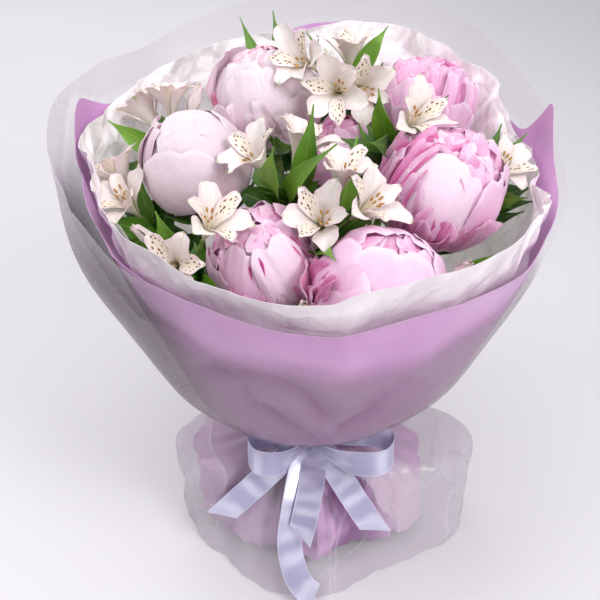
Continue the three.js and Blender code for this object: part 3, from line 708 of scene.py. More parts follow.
def tepal_skin():
    """Creamy tepals with a green midline, brown flecks on the marked ones and pink backs."""
    paint = Paint("alstroemeria_tepal")
    across, along = paint.blade()
    kind = paint.own("shade")
    under = paint.own("under")
    ribs = paint.cloud(paint.vector(across * 11, along * 1.2, kind * 5), 2.2, 2.0)
    flush = (abs(across).eased(0.35, 1.0) * 0.45 + under * 0.4) * along.eased(0.2, 0.8)
    lines = abs(ribs - 0.5).eased(0.0, 0.09)
    veined = paint.blend(colour(238, 222, 212), colour(250, 245, 242), lines)
    skin = paint.blend(veined, colour(236, 196, 206), flush * (ribs + 0.5))
    throat = 1 - along.eased(0.12, 0.4)
    warmed = paint.blend(skin, colour(206, 200, 136), throat * 0.7)
    marked = kind.eased(0.6, 0.9)
    halfway = along.eased(0.3, 0.5) * (1 - along.eased(0.66, 0.84))
    yellow = marked * halfway * (1 - abs(across).eased(0.4, 0.9))
    gilded = paint.blend(warmed, colour(243, 228, 190), yellow * 0.5)
    midline = (1 - abs(across).eased(0.03, 0.3)) * along.eased(0.45, 0.95) * (1 - marked * 0.6)
    green = midline * (0.25 + under * 0.65) + along.eased(0.9, 1.0) * 0.6
    greened = paint.blend(gilded, colour(168, 186, 88), green)
    dashes = 1 - paint.cells(paint.vector(across * 3.6, along * 12, kind), 1.0).eased(0.3, 0.4)
    zone = along.eased(0.3, 0.42) * (1 - along.eased(0.76, 0.88)) * (1 - abs(across).eased(0.6, 0.85))
    flecked = paint.blend(greened, colour(104, 44, 34), dashes * zone * marked * (1 - under))
    return paint.finish(
        Base_Color=flecked, Roughness=0.46, Subsurface_Weight=0.25,
        Subsurface_Radius=(1.0, 0.8, 0.6), Subsurface_Scale=0.003, Specular_IOR_Level=0.4,
        Sheen_Weight=0.15, Normal=paint.bump(ribs, 0.3, 0.5))


def leaf_skin():
    """Glossy green above with fine lengthwise veins, dull and greyer below."""
    paint = Paint("alstroemeria_leaf")
    across, along = paint.blade()
    under = paint.own("under")
    shade = paint.own("shade")
    veins = paint.cloud(paint.vector(across * 16, along * 0.8, shade * 9), 2.4, 2.0)
    mottle = paint.cloud(paint.place(), 60.0, 2.0)
    light = (veins - 0.5) * 0.9 + shade + (mottle - 0.5) * 0.5
    top = paint.blend(colour(38, 92, 18), colour(134, 186, 54), light.eased(-0.1, 1.1))
    rib = 1 - abs(across).eased(0.0, 0.12)
    ribbed = paint.blend(top, colour(150, 190, 84), rib * 0.5)
    both = paint.blend(ribbed, colour(112, 150, 84), under * 0.75)
    return paint.finish(
        Base_Color=both, Roughness=0.28 + under * 0.25, Specular_IOR_Level=0.6,
        Subsurface_Weight=0.08, Subsurface_Radius=(0.5, 1.0, 0.3), Subsurface_Scale=0.002,
        Normal=paint.bump(veins, 0.5, 0.6))


def stem_skin():
    """Green stems with soft streaks."""
    paint = Paint("green_stem")
    streaks = paint.cloud(paint.place(), 90.0, 3.0)
    skin = paint.blend(colour(78, 116, 46), colour(142, 170, 92), streaks.eased(0.3, 0.7))
    return paint.finish(Base_Color=skin, Roughness=0.5 + streaks * 0.15,
                        Normal=paint.bump(streaks, 0.4, 0.5))


def grain_skin(name, dark, light, scale):
    """A matt skin with a fine uneven grain, such as an anther's or a filament's."""
    paint = Paint(name)
    grain = paint.cloud(paint.place(), scale, 3.0)
    return paint.finish(Base_Color=paint.blend(dark, light, grain.eased(0.3, 0.7)),
                        Roughness=0.6 + grain * 0.2, Normal=paint.bump(grain, 0.15, 0.5))


def folds_of(paint, place, size, seed):
    """A height of straight sharp folds, in three directions, about so many millimetres apart, and
    the lines along their ridges."""
    chance = random.Random(seed)
    warp = paint.cloud(place, 400 / size, 1.0)
    total = 0
    lines = 0
    for _ in range(3):
        direction = Vector([chance.gauss(0, 1) for _ in range(3)]).normalized()
        run = paint.node("ShaderNodeVectorMath", {"operation": "DOT_PRODUCT"},
                         {0: place, 1: direction / (size * chance.uniform(0.7, 1.4) * MM)}, 1)
        fold = (run + warp * 1.8).sum("PINGPONG", 1.0)
        total = total + fold * chance.uniform(0.6, 1.0)
        lines = lines + fold.eased(0.95, 1.0)
    return total, lines


def tissue_skin():
    """White tissue with a pearly sheen and small sharp crinkles, greyer in their hollows as painted
    shade, and with a painted glow for light shining through it, none at the front.
    """
    paint = Paint("white_tissue")
    place = paint.place()
    fine = paint.cloud(place, 230.0, 3.0, 0.6)
    large, _ = folds_of(paint, place, 17, 4)
    small, _ = folds_of(paint, place, 8, 6)
    height = (large + small * 0.45) * paint.own("shade") + fine * 0.1
    # painted shade: greyer in the hollows of the crinkles and whiter on their ridges
    skin = paint.blend(colour(228, 219, 223), colour(247, 241, 244), height.eased(0.2, 1.6))
    # painted glow: emission that stands in for light shining through the tissue, none at the front
    painted_glow = paint.blend(colour(0, 0, 0), skin, paint.own("shade").eased(0.4, 0.9))
    return paint.finish(
        Base_Color=skin, Roughness=0.3 + fine * 0.16, Specular_IOR_Level=0.6,
        Emission_Color=painted_glow, Emission_Strength=0.16, Normal=paint.bump(height, 3.4, 1.0))


def lilac_skin():
    """Smooth lilac paper, a little cloudy, with a soft gloss, creased where it is gathered; in its
    skirt, deeper in the creases as painted shade, and paler where it is folded over, partly for its
    paler reverse side and partly as painted light on that facet.
    """
    paint = Paint("lilac_paper")
    place = paint.place()
    wrinkles, _ = folds_of(paint, place, 60, 9)
    creased = wrinkles * (1 - paint.part(place, 2).eased(0.16, 0.22))
    cloudy = paint.cloud(place, 7.0, 2.0)
    grain = paint.cloud(place, 420.0, 2.0)
    tone = paint.own("shade")
    plain = paint.blend(colour(204, 148, 202), colour(219, 170, 217), cloudy.eased(0.35, 0.65))
    # painted shade: deeper colour in the skirt's crease valleys
    deep = paint.blend(plain, colour(150, 76, 152), tone.eased(0.0, 1.0))
    # paler where the skirt is folded over: partly its paler reverse side, partly painted light on that
    # facet
    skin = paint.blend(deep, colour(232, 206, 226), (tone * -1).eased(0.0, 1.0))
    return paint.finish(
        Base_Color=skin, Roughness=0.34 + (grain - 0.5) * 0.1, Specular_IOR_Level=0.6,
        Sheen_Weight=0.1, Normal=paint.bump(creased + grain * 0.01, 5.0, 1.0))


def film_skin():
    """Frosted film: milky where it stands away from the paper and clearer where it lies on it, with
    painted shade that greys it at the lower bowl's height and darkens its left side, and painted
    highlights along its crease ridges."""
    paint = Paint("frosted_film")
    place = paint.place()
    cloudy = paint.cloud(place, 16.0, 2.0)
    fine = paint.cloud(place, 350.0, 2.0)
    height = paint.part(place, 2)
    low = 1 - height.eased(0.1, 0.14)
    wrinkles, lines = folds_of(paint, place, 60, 9)
    # painted highlights: more opaque, so paler, along the ridges of the low creases
    ridges = lines * low * (cloudy + 0.2)
    creased = wrinkles * (low * 0.5 + (1 - height.eased(0.15, 0.23)) * 0.5)
    # painted shade: the film is greyed at the height of the lower bowl
    shaded = height.eased(0.1, 0.16) * (1 - height.eased(0.34, 0.44))
    # painted shade on the left side, where the film is also made more opaque so that it shows
    painted_left_shade = shaded * (1 - paint.part(place, 0).eased(-0.17, -0.08))
    milk = paint.blend(colour(214, 204, 214), colour(232, 226, 233), cloudy)
    greyed = paint.blend(milk, colour(142, 124, 136), shaded)
    tinted = paint.blend(greyed, colour(98, 80, 90), painted_left_shade * 0.8)
    cover = paint.own("shade") + (cloudy - 0.5) * 0.04 + ridges * 0.12 + painted_left_shade * 0.16
    return paint.finish(
        Base_Color=tinted, Alpha=cover,
        Roughness=0.26 + (fine - 0.5) * 0.1, Specular_IOR_Level=0.7,
        Normal=paint.bump(cloudy * 0.2 + creased, 4.0, 0.9))


def satin_skin():
    """Pale lavender satin with a painted gleam of slow light and dark bands along it, woven across
    its width, with a corded edge.
    """
    paint = Paint("lavender_satin")
    across, along = paint.blade()
    thread = paint.cloud(paint.vector(across * 3, along * 900), 1.0, 2.0)
    lengthwise = paint.cloud(paint.vector(across * 110, along * 5), 1.0, 2.0)
    edge = abs(across).eased(0.93, 0.97)
    # painted highlight: slow light and dark bands along the ribbon, with a quarter from the lengthwise
    # weave, stand in for the satin's gleam
    painted_gleam = paint.cloud(paint.vector(across * 0.3, along * 7), 1.0, 1.0)
    painted_shine = painted_gleam.eased(0.38, 0.62) * 0.75 + lengthwise.eased(0.3, 0.7) * 0.25
    skin = paint.blend(colour(166, 161, 197), colour(216, 214, 235), painted_shine)
    edged = paint.blend(skin, colour(216, 215, 236), edge)
    return paint.finish(
        Base_Color=edged, Metallic=0.25, Roughness=0.28 + edge * 0.3, Anisotropic=0.6,
        Specular_IOR_Level=1.0, Sheen_Weight=0.1, Coat_Weight=0.3, Coat_Roughness=0.22,
        Normal=paint.bump(thread * 0.5 + lengthwise * 0.3 + edge, 0.2, 0.4))


PALE_PETAL = peony_petal(
    "pale_petal", colour(242, 226, 234), colour(230, 204, 217), colour(222, 96, 152))
PINK_PETAL = peony_petal(
    "pink_petal", colour(247, 214, 236), colour(235, 168, 211), colour(214, 56, 150))
TEPAL = tepal_skin()
LEAF = leaf_skin()
STEM = stem_skin()
ANTHER = grain_skin("ochre_anther", colour(140, 92, 34), colour(206, 158, 76), 900.0)
FILAMENT = grain_skin("pale_filament", colour(226, 206, 176), colour(250, 240, 226), 300.0)
TWINE = grain_skin("jute_twine", colour(132, 112, 78), colour(206, 190, 152), 700.0)
TISSUE = tissue_skin()
LILAC = lilac_skin()
FILM = film_skin()
SATIN = satin_skin()

RODS = tube_tree()
GRAINS = grain_tree()


def add_rods(skin, paths, root, head, sides, finish, turn=None, place=None):
    """Adds a round rod along each path, tapering from one radius to another, in millimetres."""
    rods = RODS.grown_on(lines_of(paths), Root=root * MM, Head=head * MM, Sides=sides,
                         Finish=finish)
    skin.add_mesh(rods, turn, place)


# ---- peonies ----
def bloom_axis(bloom):
    """The direction that a bloom faces."""
    return (Vector(bloom.centre) - FAN_POINT).normalized()


def bloom_frame(bloom):
    """The bloom's axis, and the two directions that its petals' turns are counted from."""
    axis = bloom_axis(bloom)
    front = Vector((0, -1, 0.5)) - axis * axis.dot(Vector((0, -1, 0.5)))
    front.normalize()
    return np.array([front, axis.cross(front), axis])


def on_ball(up, out, turn):
    """Points on a ball of radius 1: so far up from its bottom, and so far to the side of a turn."""
    turn = math.radians(turn)
    level = np.sin(up)
    middle = np.stack([level * math.cos(turn), level * math.sin(turn), -np.cos(up)], axis=-1)
    side = np.array([-math.sin(turn), math.cos(turn), 0])
    return np.cos(out)[..., None] * middle + np.sin(out)[..., None] * side


def ragged_rim(u, phase, lively):
    """How many degrees a petal's rim rises and dips on its way across, with one notch."""
    jag = 2.2 * np.sin(3.1 * u + phase) + 1.2 * np.sin(7.3 * u + 2 * phase)
    fine = 0.7 * np.sin(17 * u + 3 * phase)
    notch = 6 * np.exp(-((u - 0.3 * math.sin(phase)) / 0.12) ** 2)
    return (jag + fine - notch) * mix(0.6, 1.5, lively)


def petal_size(petal, u, v, crease, phase, lively):
    """How far each point of a petal is from the bloom's middle, as a share of its radius."""
    wave = np.sin(4.2 * u + phase) + 0.7 * np.sin(9.7 * u - phase + 2 * v)
    wave = wave + 0.6 * np.sin(19 * u + 5 * v)
    dents = np.sin(5 * v + 3 * u + phase) * np.sin(4 * u - 2 * v + 2 * phase)
    size = mix(0.45, petal.size, smooth(v / 0.36))
    size = size + petal.flare * smooth((v - 0.45) / 0.55) ** 2
    size = size + 1.4 * petal.ruffle * (wave - 0.55) * smooth(v) ** 3
    size = size + mix(0.007, 0.018, lively) * dents * smooth(v * 2)
    size = size - petal.fold * crease - 0.022 * u**2 * v
    return size + mix(0.012, 0.036, lively) * smooth((v - 0.84) / 0.16)


def petal_grid(radius, petal, chance):
    """The petal's points about the bloom's middle, across it in columns and up it in rows, and how
    deep its colour is at each of them, with painted shade along its fold and at its side edges."""
    v = np.linspace(0, 1, PETAL_ROWS)[:, None]
    u = np.linspace(-1, 1, PETAL_COLUMNS)[None, :]
    phase = chance.uniform(0, 6.3)
    lively = min(1, petal.ruffle / 0.04)
    slant = chance.uniform(-13, 13) * lively
    round_off = petal.drop * 1.5 * (1 - np.sqrt(1 - 0.97 * u**4))
    tip = petal.reach + slant * u - round_off + ragged_rim(u, phase, lively)
    up = np.radians(mix(PETAL_ROOT, tip, v))
    width = petal.half * mix(1.05, 1.3, lively) * (0.3 + 0.7 * smooth(v / 0.55))
    out = np.radians(u * width)
    crease = np.exp(-((u - 0.12 * np.sin(4 * v + phase)) / 0.22) ** 2) * smooth(v * 1.6)
    size = petal_size(petal, u, v, crease, phase, lively)
    # painted shade: deeper along the fold's crease and at the side edges, where other petals overlap it
    depth = petal.blush + 6 * petal.fold * crease**3 + 0.2 * np.abs(u) ** 5
    depth = depth + chance.uniform(-0.05, 0.05)
    return on_ball(up, out, petal.turn) * (radius * size)[..., None], depth


def heart_petals(bloom, chance):
    """The ruffled inner petals, smaller and deeper towards the middle."""
    petals = []
    for i in range(bloom.heart):
        depth = i / bloom.heart
        petals.append(Petal(
            turn=HEART_STEP * i + chance.uniform(-20, 20),
            reach=bloom.heart_reach + mix(-4, 20, depth) + chance.uniform(-10, 8),
            half=mix(40, 50, depth) * chance.uniform(0.85, 1.15),
            size=mix(0.93, bloom.heart_size, depth),
            flare=bloom.open * chance.uniform(0.2, 1),
            ruffle=bloom.frill * chance.uniform(0.6, 1.3),
            fold=chance.choice([0, 0.05, 0.09]),
            blush=mix(0.02, 0.36, depth) + chance.uniform(-0.05, 0.14),
            drop=chance.uniform(24, 44)))
    return petals


def make_bloom(name, bloom, seed):
    """One peony: its outer petals as they are listed, then its heart."""
    chance = random.Random(seed)
    turned = bloom_frame(bloom)
    finish = PALE_PETAL if bloom.tint == "pale" else PINK_PETAL
    skin = Skin()
    for petal in bloom.outer + heart_petals(bloom, chance):
        grid, depth = petal_grid(bloom.radius, petal, chance)
        places = grid @ turned + np.array(bloom.centre)
        skin.add_sheet(places, PETAL_THICKNESS, finish, depth + bloom.deep)
    skin.piece(f"{name}_petals", f"petal_{bloom.tint}", name)


def tie_place(ring, tilt, angle):
    """Where a stem of the spiral passes the tie, and its direction there."""
    x, y = math.cos(angle), math.sin(angle)
    lean = math.sin(tilt)
    place = Vector((ring * x, ring * y, TIE_HEIGHT))
    return place, Vector((-y * lean, x * lean, math.cos(tilt)))


def stem_route(tie, end, end_direction, steps, own=None):
    """Points from the surface, straight through the tie, then bending to the head."""
    place, direction = tie
    points = [place - direction * (TIE_HEIGHT / direction.z), place - direction * 35]
    lift = (place - end).length
    knots = [place, place + direction * lift * 0.36, end - end_direction * lift * 0.3, end]
    for i in range(steps + 1):
        t = i / steps
        point = (knots[0] * (1 - t) ** 3 + knots[1] * 3 * t * (1 - t) ** 2
                 + knots[2] * 3 * t * t * (1 - t) + knots[3] * t**3)
        points.append(clear_of_blooms(point, PEONY_STEM_RADIUS + 1, own))
    return through(points, [5] * (len(points) - 1))


def sepal_grid(radius, turn, reach, half):
    """A sepal that hugs its bloom from the stem's top."""
    v = np.linspace(0, 1, 9)[:, None]
    u = np.linspace(-1, 1, 7)[None, :]
    up = np.radians(mix(1.5, reach - 8 * np.abs(u) ** 2, v))
    width = half * (0.12 + 0.88 * smooth(v / 0.6)) * (1 - 0.75 * smooth((v - 0.6) / 0.4))
    size = mix(CORE + 0.02, 1.1, smooth(v / 0.55)) + 0.02 * np.sin(5 * u)
    return on_ball(up, np.radians(u * width), turn) * (radius * size)[..., None]


def make_peony_stem(name, bloom, tie):
    """A peony's stem with the sepals that hug its bloom."""
    axis = bloom_axis(bloom)
    top = Vector(bloom.centre) - axis * (bloom.radius * CORE + STEM_GAP + 0.4)
    route = stem_route(tie, top, axis, 5, name)
    skin = Skin()
    add_rods(skin, [route], PEONY_STEM_RADIUS, PEONY_STEM_RADIUS, 14, STEM)
    turned = bloom_frame(bloom)
    for i in range(SEPALS):
        reach = 62 if i % 2 == 0 else 55
        grid = sepal_grid(bloom.radius, 360 / SEPALS * i, reach, 24)
        skin.add_sheet(grid @ turned + np.array(bloom.centre), SEPAL_THICKNESS, LEAF, 0.35)
    skin.piece(f"{name}_green_stem", "stem_green", f"{name}_stem")


# ---- alstroemeria ----
# The line of each kind of tepal, from its base to its tip: how far outwards and upwards, and half
# its width there.
TEPAL_LINES = {
    "outer": [(0.2, 0, 0.9), (2.4, 7, 1.8), (6.0, 16.5, 4.4), (13.0, 26, 9.0),
              (21.4, 33.5, 10.4), (28.2, 37.0, 6.4), (32.4, 36.6, 0.5)],
    "inner": [(0.2, 0, 0.8), (2.0, 8, 1.3), (4.4, 18, 2.8), (10, 27.5, 5.8),
              (17, 35, 7.0), (22.8, 39.0, 4.2), (26.0, 39.6, 0.4)],
    "closed": [(0.2, 0, 0.9), (2.6, 6, 1.8), (4.6, 13, 3.4), (5.0, 21, 4.6),
               (3.9, 29, 4.0), (2.2, 34.5, 2.2), (1.3, 37, 0.3)],
}
FLECKS = (0.0, 1.0, 0.0, 0.4, 0.0, 1.0)  # how strongly each tepal of an open flower is flecked
BUD_FLECKS = 0.1
STAMENS = 6


def tepal_grid(kind, azimuth, chance):
    """A tepal's points: cupped across, wavy at its edges and turned to its side of the flower."""
    line = through(TEPAL_LINES[kind], [3, 3, 3, 4, 4, 4])
    outwards, upwards, half = line[:, :1], line[:, 1:2], line[:, 2:]
    v = np.linspace(0, 1, len(line))[:, None]
    u = np.linspace(-1, 1, 7)[None, :]
    phase = chance.uniform(0, 6.3)
    gape = chance.uniform(0.74, 1.1) if kind != "closed" else 1
    cupped = half * 0.42 * u**2 * (1 - 0.7 * smooth((v - 0.6) / 0.4))
    crinkle = (0.5 + 1.6 * u**2) * np.sin(4 * u + 15 * v + phase) * v
    sideways = -half * u * (1 + 0.13 * np.sin(19 * v + phase) * v)
    out = outwards * gape - cupped * 0.8 + crinkle * 0.5 + 0 * u
    rise = upwards + cupped * 0.6 + crinkle * 0.6 + 0 * u
    return np.stack([out * math.cos(azimuth) - sideways * math.sin(azimuth),
                     out * math.sin(azimuth) + sideways * math.cos(azimuth), rise], axis=-1)


def floret_seat(top, mouth):
    """Where a flower's base is, and the direction that it faces."""
    facing = (mouth - top).normalized()
    return mouth - facing * FLORET_DEPTH, facing


def stamen_lines(chance):
    """Six filaments that leave the throat together, bend to one side and curl up at their ends."""
    lines = []
    bend = Vector((4.5, 0, 0))
    for i in range(STAMENS):
        angle = math.radians(360 / STAMENS * i)
        spread = chance.uniform(0.8, 1.3)
        side = Vector((math.cos(angle), math.sin(angle), 0)) * spread
        height = chance.uniform(27, 33)
        lines.append(through([
            side * 0.5 + Vector((0, 0, 6)),
            side * 1.1 + bend * 0.2 + Vector((0, 0, height * 0.5)),
            side * 2.4 + bend * 0.9 + Vector((0, 0, height * 0.85)),
            side * 4 + bend * 1.3 + Vector((0, 0, height))], [3] * 3))
    return lines


def add_stamens(skin, turn, spin, place, chance):
    """The filaments of an open flower, each with an anther on its end."""
    lines = stamen_lines(chance)
    bent = turn @ Quaternion((0, 0, 1), spin + math.radians(180))
    add_rods(skin, lines, 0.55, 0.35, 5, FILAMENT, bent, place)
    skin.add_mesh(GRAINS.grown_on(lines_of(lines), Length=2.5 * MM, Width=0.95 * MM,
                                  Finish=ANTHER), bent, place)


def make_floret(name, top, mouth, opened, spin, seed):
    """An alstroemeria flower, or a bud of three tepals that hasn't opened."""
    chance = random.Random(seed)
    base, facing = floret_seat(Vector(top), Vector(mouth))
    turn = Vector((0, 0, 1)).rotation_difference(facing)
    matrix = np.array(turn.to_matrix())
    skin = Skin()
    lobes = 6 if opened else 3
    for i in range(lobes):
        azimuth = spin + i * 2 * math.pi / lobes
        kind = ("inner" if i % 2 else "outer") if opened else "closed"
        flecks = FLECKS[i] if opened else BUD_FLECKS
        grid = tepal_grid(kind, azimuth, chance) @ matrix.T + np.array(base)
        skin.add_sheet(kept_clear(grid, 0.9), PETAL_THICKNESS, TEPAL, flecks)
    if opened:
        add_stamens(skin, turn, spin, base, chance)
    skin.piece(f"{name}_tepals", "floret_cream", name)


def leaf_grid(root, tip, sideways, width, chance):
    """A long pointed leaf, arched from its root to its tip and twisted on the way."""
    rise = tip - root
    side = rise.cross(sideways).normalized()
    arch = side.cross(rise).normalized() * rise.length * 0.2
    bend = root.lerp(tip, 0.5) + arch
    rows, columns = 15, 7
    twist = math.radians(chance.uniform(25, 85)) * chance.choice([-1, 1])
    grid = np.zeros((rows, columns, 3))
    for i in range(rows):
        v = i / (rows - 1)
        middle = root * (1 - v) ** 2 + bend * 2 * v * (1 - v) + tip * v * v
        along = ((bend - root) * (1 - v) + (tip - bend) * v).normalized()
        over = Quaternion(along, twist * (v - 0.35)) @ side
        facing = over.cross(along)
        taper = 1 - smooth((v - 0.45) / 0.55) ** 1.6
        half = width / 2 * (0.2 + 0.8 * smooth(v / 0.42)) * taper + 0.15
        for j in range(columns):
            u = 2 * j / (columns - 1) - 1
            wave = 0.5 * math.sin(9 * v + 2 * u)
            grid[i, j] = middle + over * half * u + facing * (half * 0.28 * u * u + wave * v)
    return grid


def lower_leaves(top, up, chance):
    """The roots and tips of the leaves lower down a stem, which fill the gaps between the blooms."""
    for i in range(LOWER_LEAVES):
        angle = 2.4 * i + chance.uniform(-0.4, 0.4)
        side = Vector((math.cos(angle), math.sin(angle), 0))
        root = top - up * (12 + 3 * i)
        yield root, root + side * chance.uniform(24, 54) + up * chance.uniform(22, 44)


def add_leaf(skin, root, tip, sideways, widest, tones, chance):
    """One leaf that is kept clear of the blooms and inside the tissue, but for its root."""
    grid = leaf_grid(root, tip, sideways, chance.uniform(17, widest), chance)
    grid[1:] = kept_clear(grid[1:], 0.8)
    skin.add_sheet(grid, LEAF_THICKNESS, LEAF, chance.uniform(*tones))


def flower_stalks(top, up, mouths):
    """A line for each flower's stalk, from the stem's fork to the flower's base."""
    fork = top - up * PETIOLE_DROP
    for mouth in mouths:
        base, facing = floret_seat(top, Vector(mouth))
        end = base - facing * STEM_GAP
        yield through([fork, clear_of_blooms(fork.lerp(end, 0.5), 2), end], [4, 4])


def make_spray_stem(name, spray, tie, seed):
    """An alstroemeria stem with its leaves and its flowers' stalks."""
    chance = random.Random(seed)
    top = Vector(spray.top)
    up = (top - FAN_POINT).normalized()
    route = stem_route(tie, top, up, 4)
    skin = Skin()
    for root, tip in lower_leaves(top, up, chance):
        # the lower leaves get a darker range of tone than the upper ones, as painted shade low in the
        # bunch
        add_leaf(skin, root, tip, Vector((0.3, -0.8, 0.6)), 23, (0, 0.5), chance)
    add_rods(skin, [route], SPRAY_STEM_RADIUS, 1.9, 10, STEM)
    add_rods(skin, flower_stalks(top, up, spray.flowers + spray.buds), 1.3, 1.8, 8, STEM)
    for i, tip in enumerate(spray.leaves):
        root = top - up * (PETIOLE_DROP + 4 * (i + 1))
        sideways = Vector((0.3 * (i % 3 - 1), -0.8, 0.6))
        add_leaf(skin, root, Vector(tip), sideways, 22, (0.2, 0.8), chance)
    skin.piece(f"{name}_leafy_stem", "leaf_green", f"{name}_stem")


# ---- wraps ----
# The height of each sheet's rim, at degrees round the bunch.
TISSUE_RIM = [(0, 400), (14, 408), (20, 420), (25, 438), (32, 450), (41, 456), (49, 468), (66, 478),
              (79, 479), (90, 471), (103, 467), (120, 460), (138, 449), (151, 437), (160, 430),
              (175, 422), (190, 416), (205, 413), (220, 412), (234, 405), (242, 397), (256, 388),
              (273, 386), (278, 395), (293, 398), (302, 398), (314, 404), (322, 412), (335, 406),
              (350, 398)]
LILAC_RIM = [(0, 408), (5, 426), (9, 452), (13, 430), (17, 412), (30, 418), (60, 444), (80, 477),
             (90, 474), (105, 458), (140, 432), (157, 430), (163, 440), (168, 449), (172, 440),
             (178, 416), (190, 408), (205, 405), (215, 404), (221, 400), (227, 390), (234, 383),
             (249, 377), (263, 369), (273, 367), (283, 371), (301, 375), (318, 375), (323, 380),
             (331, 390), (345, 398), (353, 400)]
FILM_RIM = [(0, 410), (8, 424), (14, 436), (24, 453), (31, 465), (41, 483), (60, 500), (90, 506),
            (118, 488), (139, 466), (155, 466), (164, 461), (174, 458), (185, 454), (196, 448),
            (206, 446), (216, 436), (222, 420), (229, 398), (238, 389), (263, 377), (273, 374),
            (283, 377), (301, 381), (318, 382), (324, 388), (334, 396), (348, 402)]

# Soft folds that the paper and the film share: their path as degrees round and height, then how
# deep and how wide they are. Below 0, a fold stands out.
BOWL_FOLDS = [
    ([(223, 384), (231, 348), (243, 322), (255, 328), (267, 328), (276, 316), (293, 319),
      (303, 332)], 2.6, 11),
    ([(243, 306), (254, 309), (263, 305), (268, 288), (272, 262)], 6.0, 5),
    ([(252, 290), (253, 266)], 5.0, 4),
    ([(257, 262), (262, 240), (270, 214)], 6.0, 5),
    ([(286, 268), (290, 284), (295, 292)], 5.5, 5),
    ([(279, 232), (288, 262)], 6.0, 5),
    ([(275, 362), (277, 326)], -3.0, 13),
    ([(300, 372), (296, 322), (291, 300)], -2.4, 10),
    ([(219, 425), (225, 392), (232, 352)], -3.5, 5),
    ([(236, 368), (247, 330)], 1.6, 12),
    ([(330, 400), (322, 300), (310, 230)], 1.2, 8),
    ([(20, 410), (35, 320), (30, 220)], 4.0, 12),
    ([(75, 440), (68, 330), (84, 230)], 4.0, 12),
    ([(118, 430), (122, 330), (108, 240)], 4.0, 11),
    ([(155, 420), (160, 320), (150, 230)], 4.0, 12),
    ([(190, 410), (196, 320), (204, 240)], 3.0, 11),
]

# Where the film stands away from the lilac paper: below this height, at degrees round the bunch.
FILM_STANDS_OFF = [(0, 330), (16, 352), (34, 300), (58, 366), (84, 318), (104, 380), (128, 306),
                   (150, 372), (180, 400), (205, 430), (218, 412), (223, 384),
                   (231, 348), (243, 322), (267, 328), (276, 316), (293, 319), (303, 330), (325, 350)]


def round_the_bunch(table, angles):
    """The table's heights at the given angles, without sharp corners."""
    degrees, heights = zip(*table)
    total = 0
    for shift in (-1.6, -0.8, 0, 0.8, 1.6):
        total = total + np.interp(np.degrees(angles) + shift, degrees, heights, period=360)
    return total / 5


def corner(angles, at, size, sharpness):
    """A rounded bump round one direction, for a corner of a square sheet."""
    return size * np.maximum(0, np.cos(angles - math.radians(at))) ** sharpness


def lilac_skirt(a):
    """The radius of the lilac skirt's shoulder and hem, its hem's height and its folds' depth."""
    shoulder = 58 + corner(a, 180, 60, 4) + corner(a, 0, 54, 4) + corner(a, 90, 50, 4)
    hem = 88 + corner(a, 180, 32, 4) + corner(a, 0, 28, 4) + corner(a, 90, 30, 4)
    return shoulder, hem, 14, 5.0


def film_skirt(a):
    """The same for the film, whose hem has a corner on each side."""
    shoulder = 68 + corner(a, 180, 68, 5) + corner(a, 0, 96, 5) + corner(a, 90, 70, 5)
    hem = 106 + corner(a, 180, 30, 5) + corner(a, 0, 66, 5) + corner(a, 90, 46, 5)
    return shoulder, hem + corner(a, 270, 17, 5), 0, 2.2


def distance_to(start, end, angles, heights):
    """How far each point of the bowl is from a line between two points on it, in millimetres."""
    across = np.degrees(angles) * BOWL_DEGREE
    run = np.array([(end[0] - start[0]) * BOWL_DEGREE, end[1] - start[1]])
    away = []
    for lap in (-360, 0, 360):
        x = across + lap * BOWL_DEGREE - start[0] * BOWL_DEGREE
        z = heights - start[1]
        t = np.clip((x * run[0] + z * run[1]) / (run @ run), 0, 1)
        away.append(np.hypot(x - t * run[0], z - t * run[1]))
    return np.minimum.reduce(away)


def fold_depth(angles, heights):
    """How far the shared folds push the bowl inwards at each point."""
    inwards = np.zeros_like(heights)
    outwards = np.zeros_like(heights)
    for path, depth, width in BOWL_FOLDS:
        for start, end in zip(path, path[1:]):
            near = np.exp(-distance_to(start, end, angles, heights) / (2.4 * width))
            inwards = np.maximum(inwards, depth * near)
            outwards = np.maximum(outwards, -depth * near)
    return FOLD_STRENGTH * (inwards - outwards)


def bowl_rows(a, rim, offset, lean, pleat):
    """The radius and height of a wrap's lines from its rim down to its neck."""
    even = np.ones(len(a))
    rows = []
    for share in (1, 0.66, 0.33, 0):
        z = mix(231, rim, share)
        radius = bowl_radius(z) + offset + lean * smooth(share) + 1.5 * share * np.sin(7 * a)
        rows.append((radius, z))
    for height, drop, wave in ((203, 0.4, 0.3), (178, 0.6, 0.8), (157, 0.8, 1.4)):
        rows.append((bowl_radius(height) + offset + wave * pleat, (height - drop * offset) * even))
    rows.append((NECK + offset + 1.1 * pleat, (141 - 0.5 * offset) * even))
    rows.append((NECK + offset + 1.1 * pleat, (120 + 0.5 * offset) * even))
    return rows


def skirt_rows(a, offset, skirt):
    """The radius and height of a wrap's lines from below its neck to its hem."""
    fan = np.sin(13 * a + 1.5 * np.sin(3 * a)) + 0.6 * np.sin(29 * a + 1)
    even = np.ones(len(a))
    shoulder, hem, hem_height, depth = skirt(a)
    return [
        (mix(NECK, shoulder, 0.55) + 2.8 * fan, (112 + 0.8 * offset) * even),
        (shoulder + depth * fan, (97 + offset) * even),
        (mix(shoulder, hem, 0.62) + 0.8 * depth * fan, mix(97, hem_height, 0.5) * even),
        (hem + 0.6 * depth * fan, hem_height * even)]


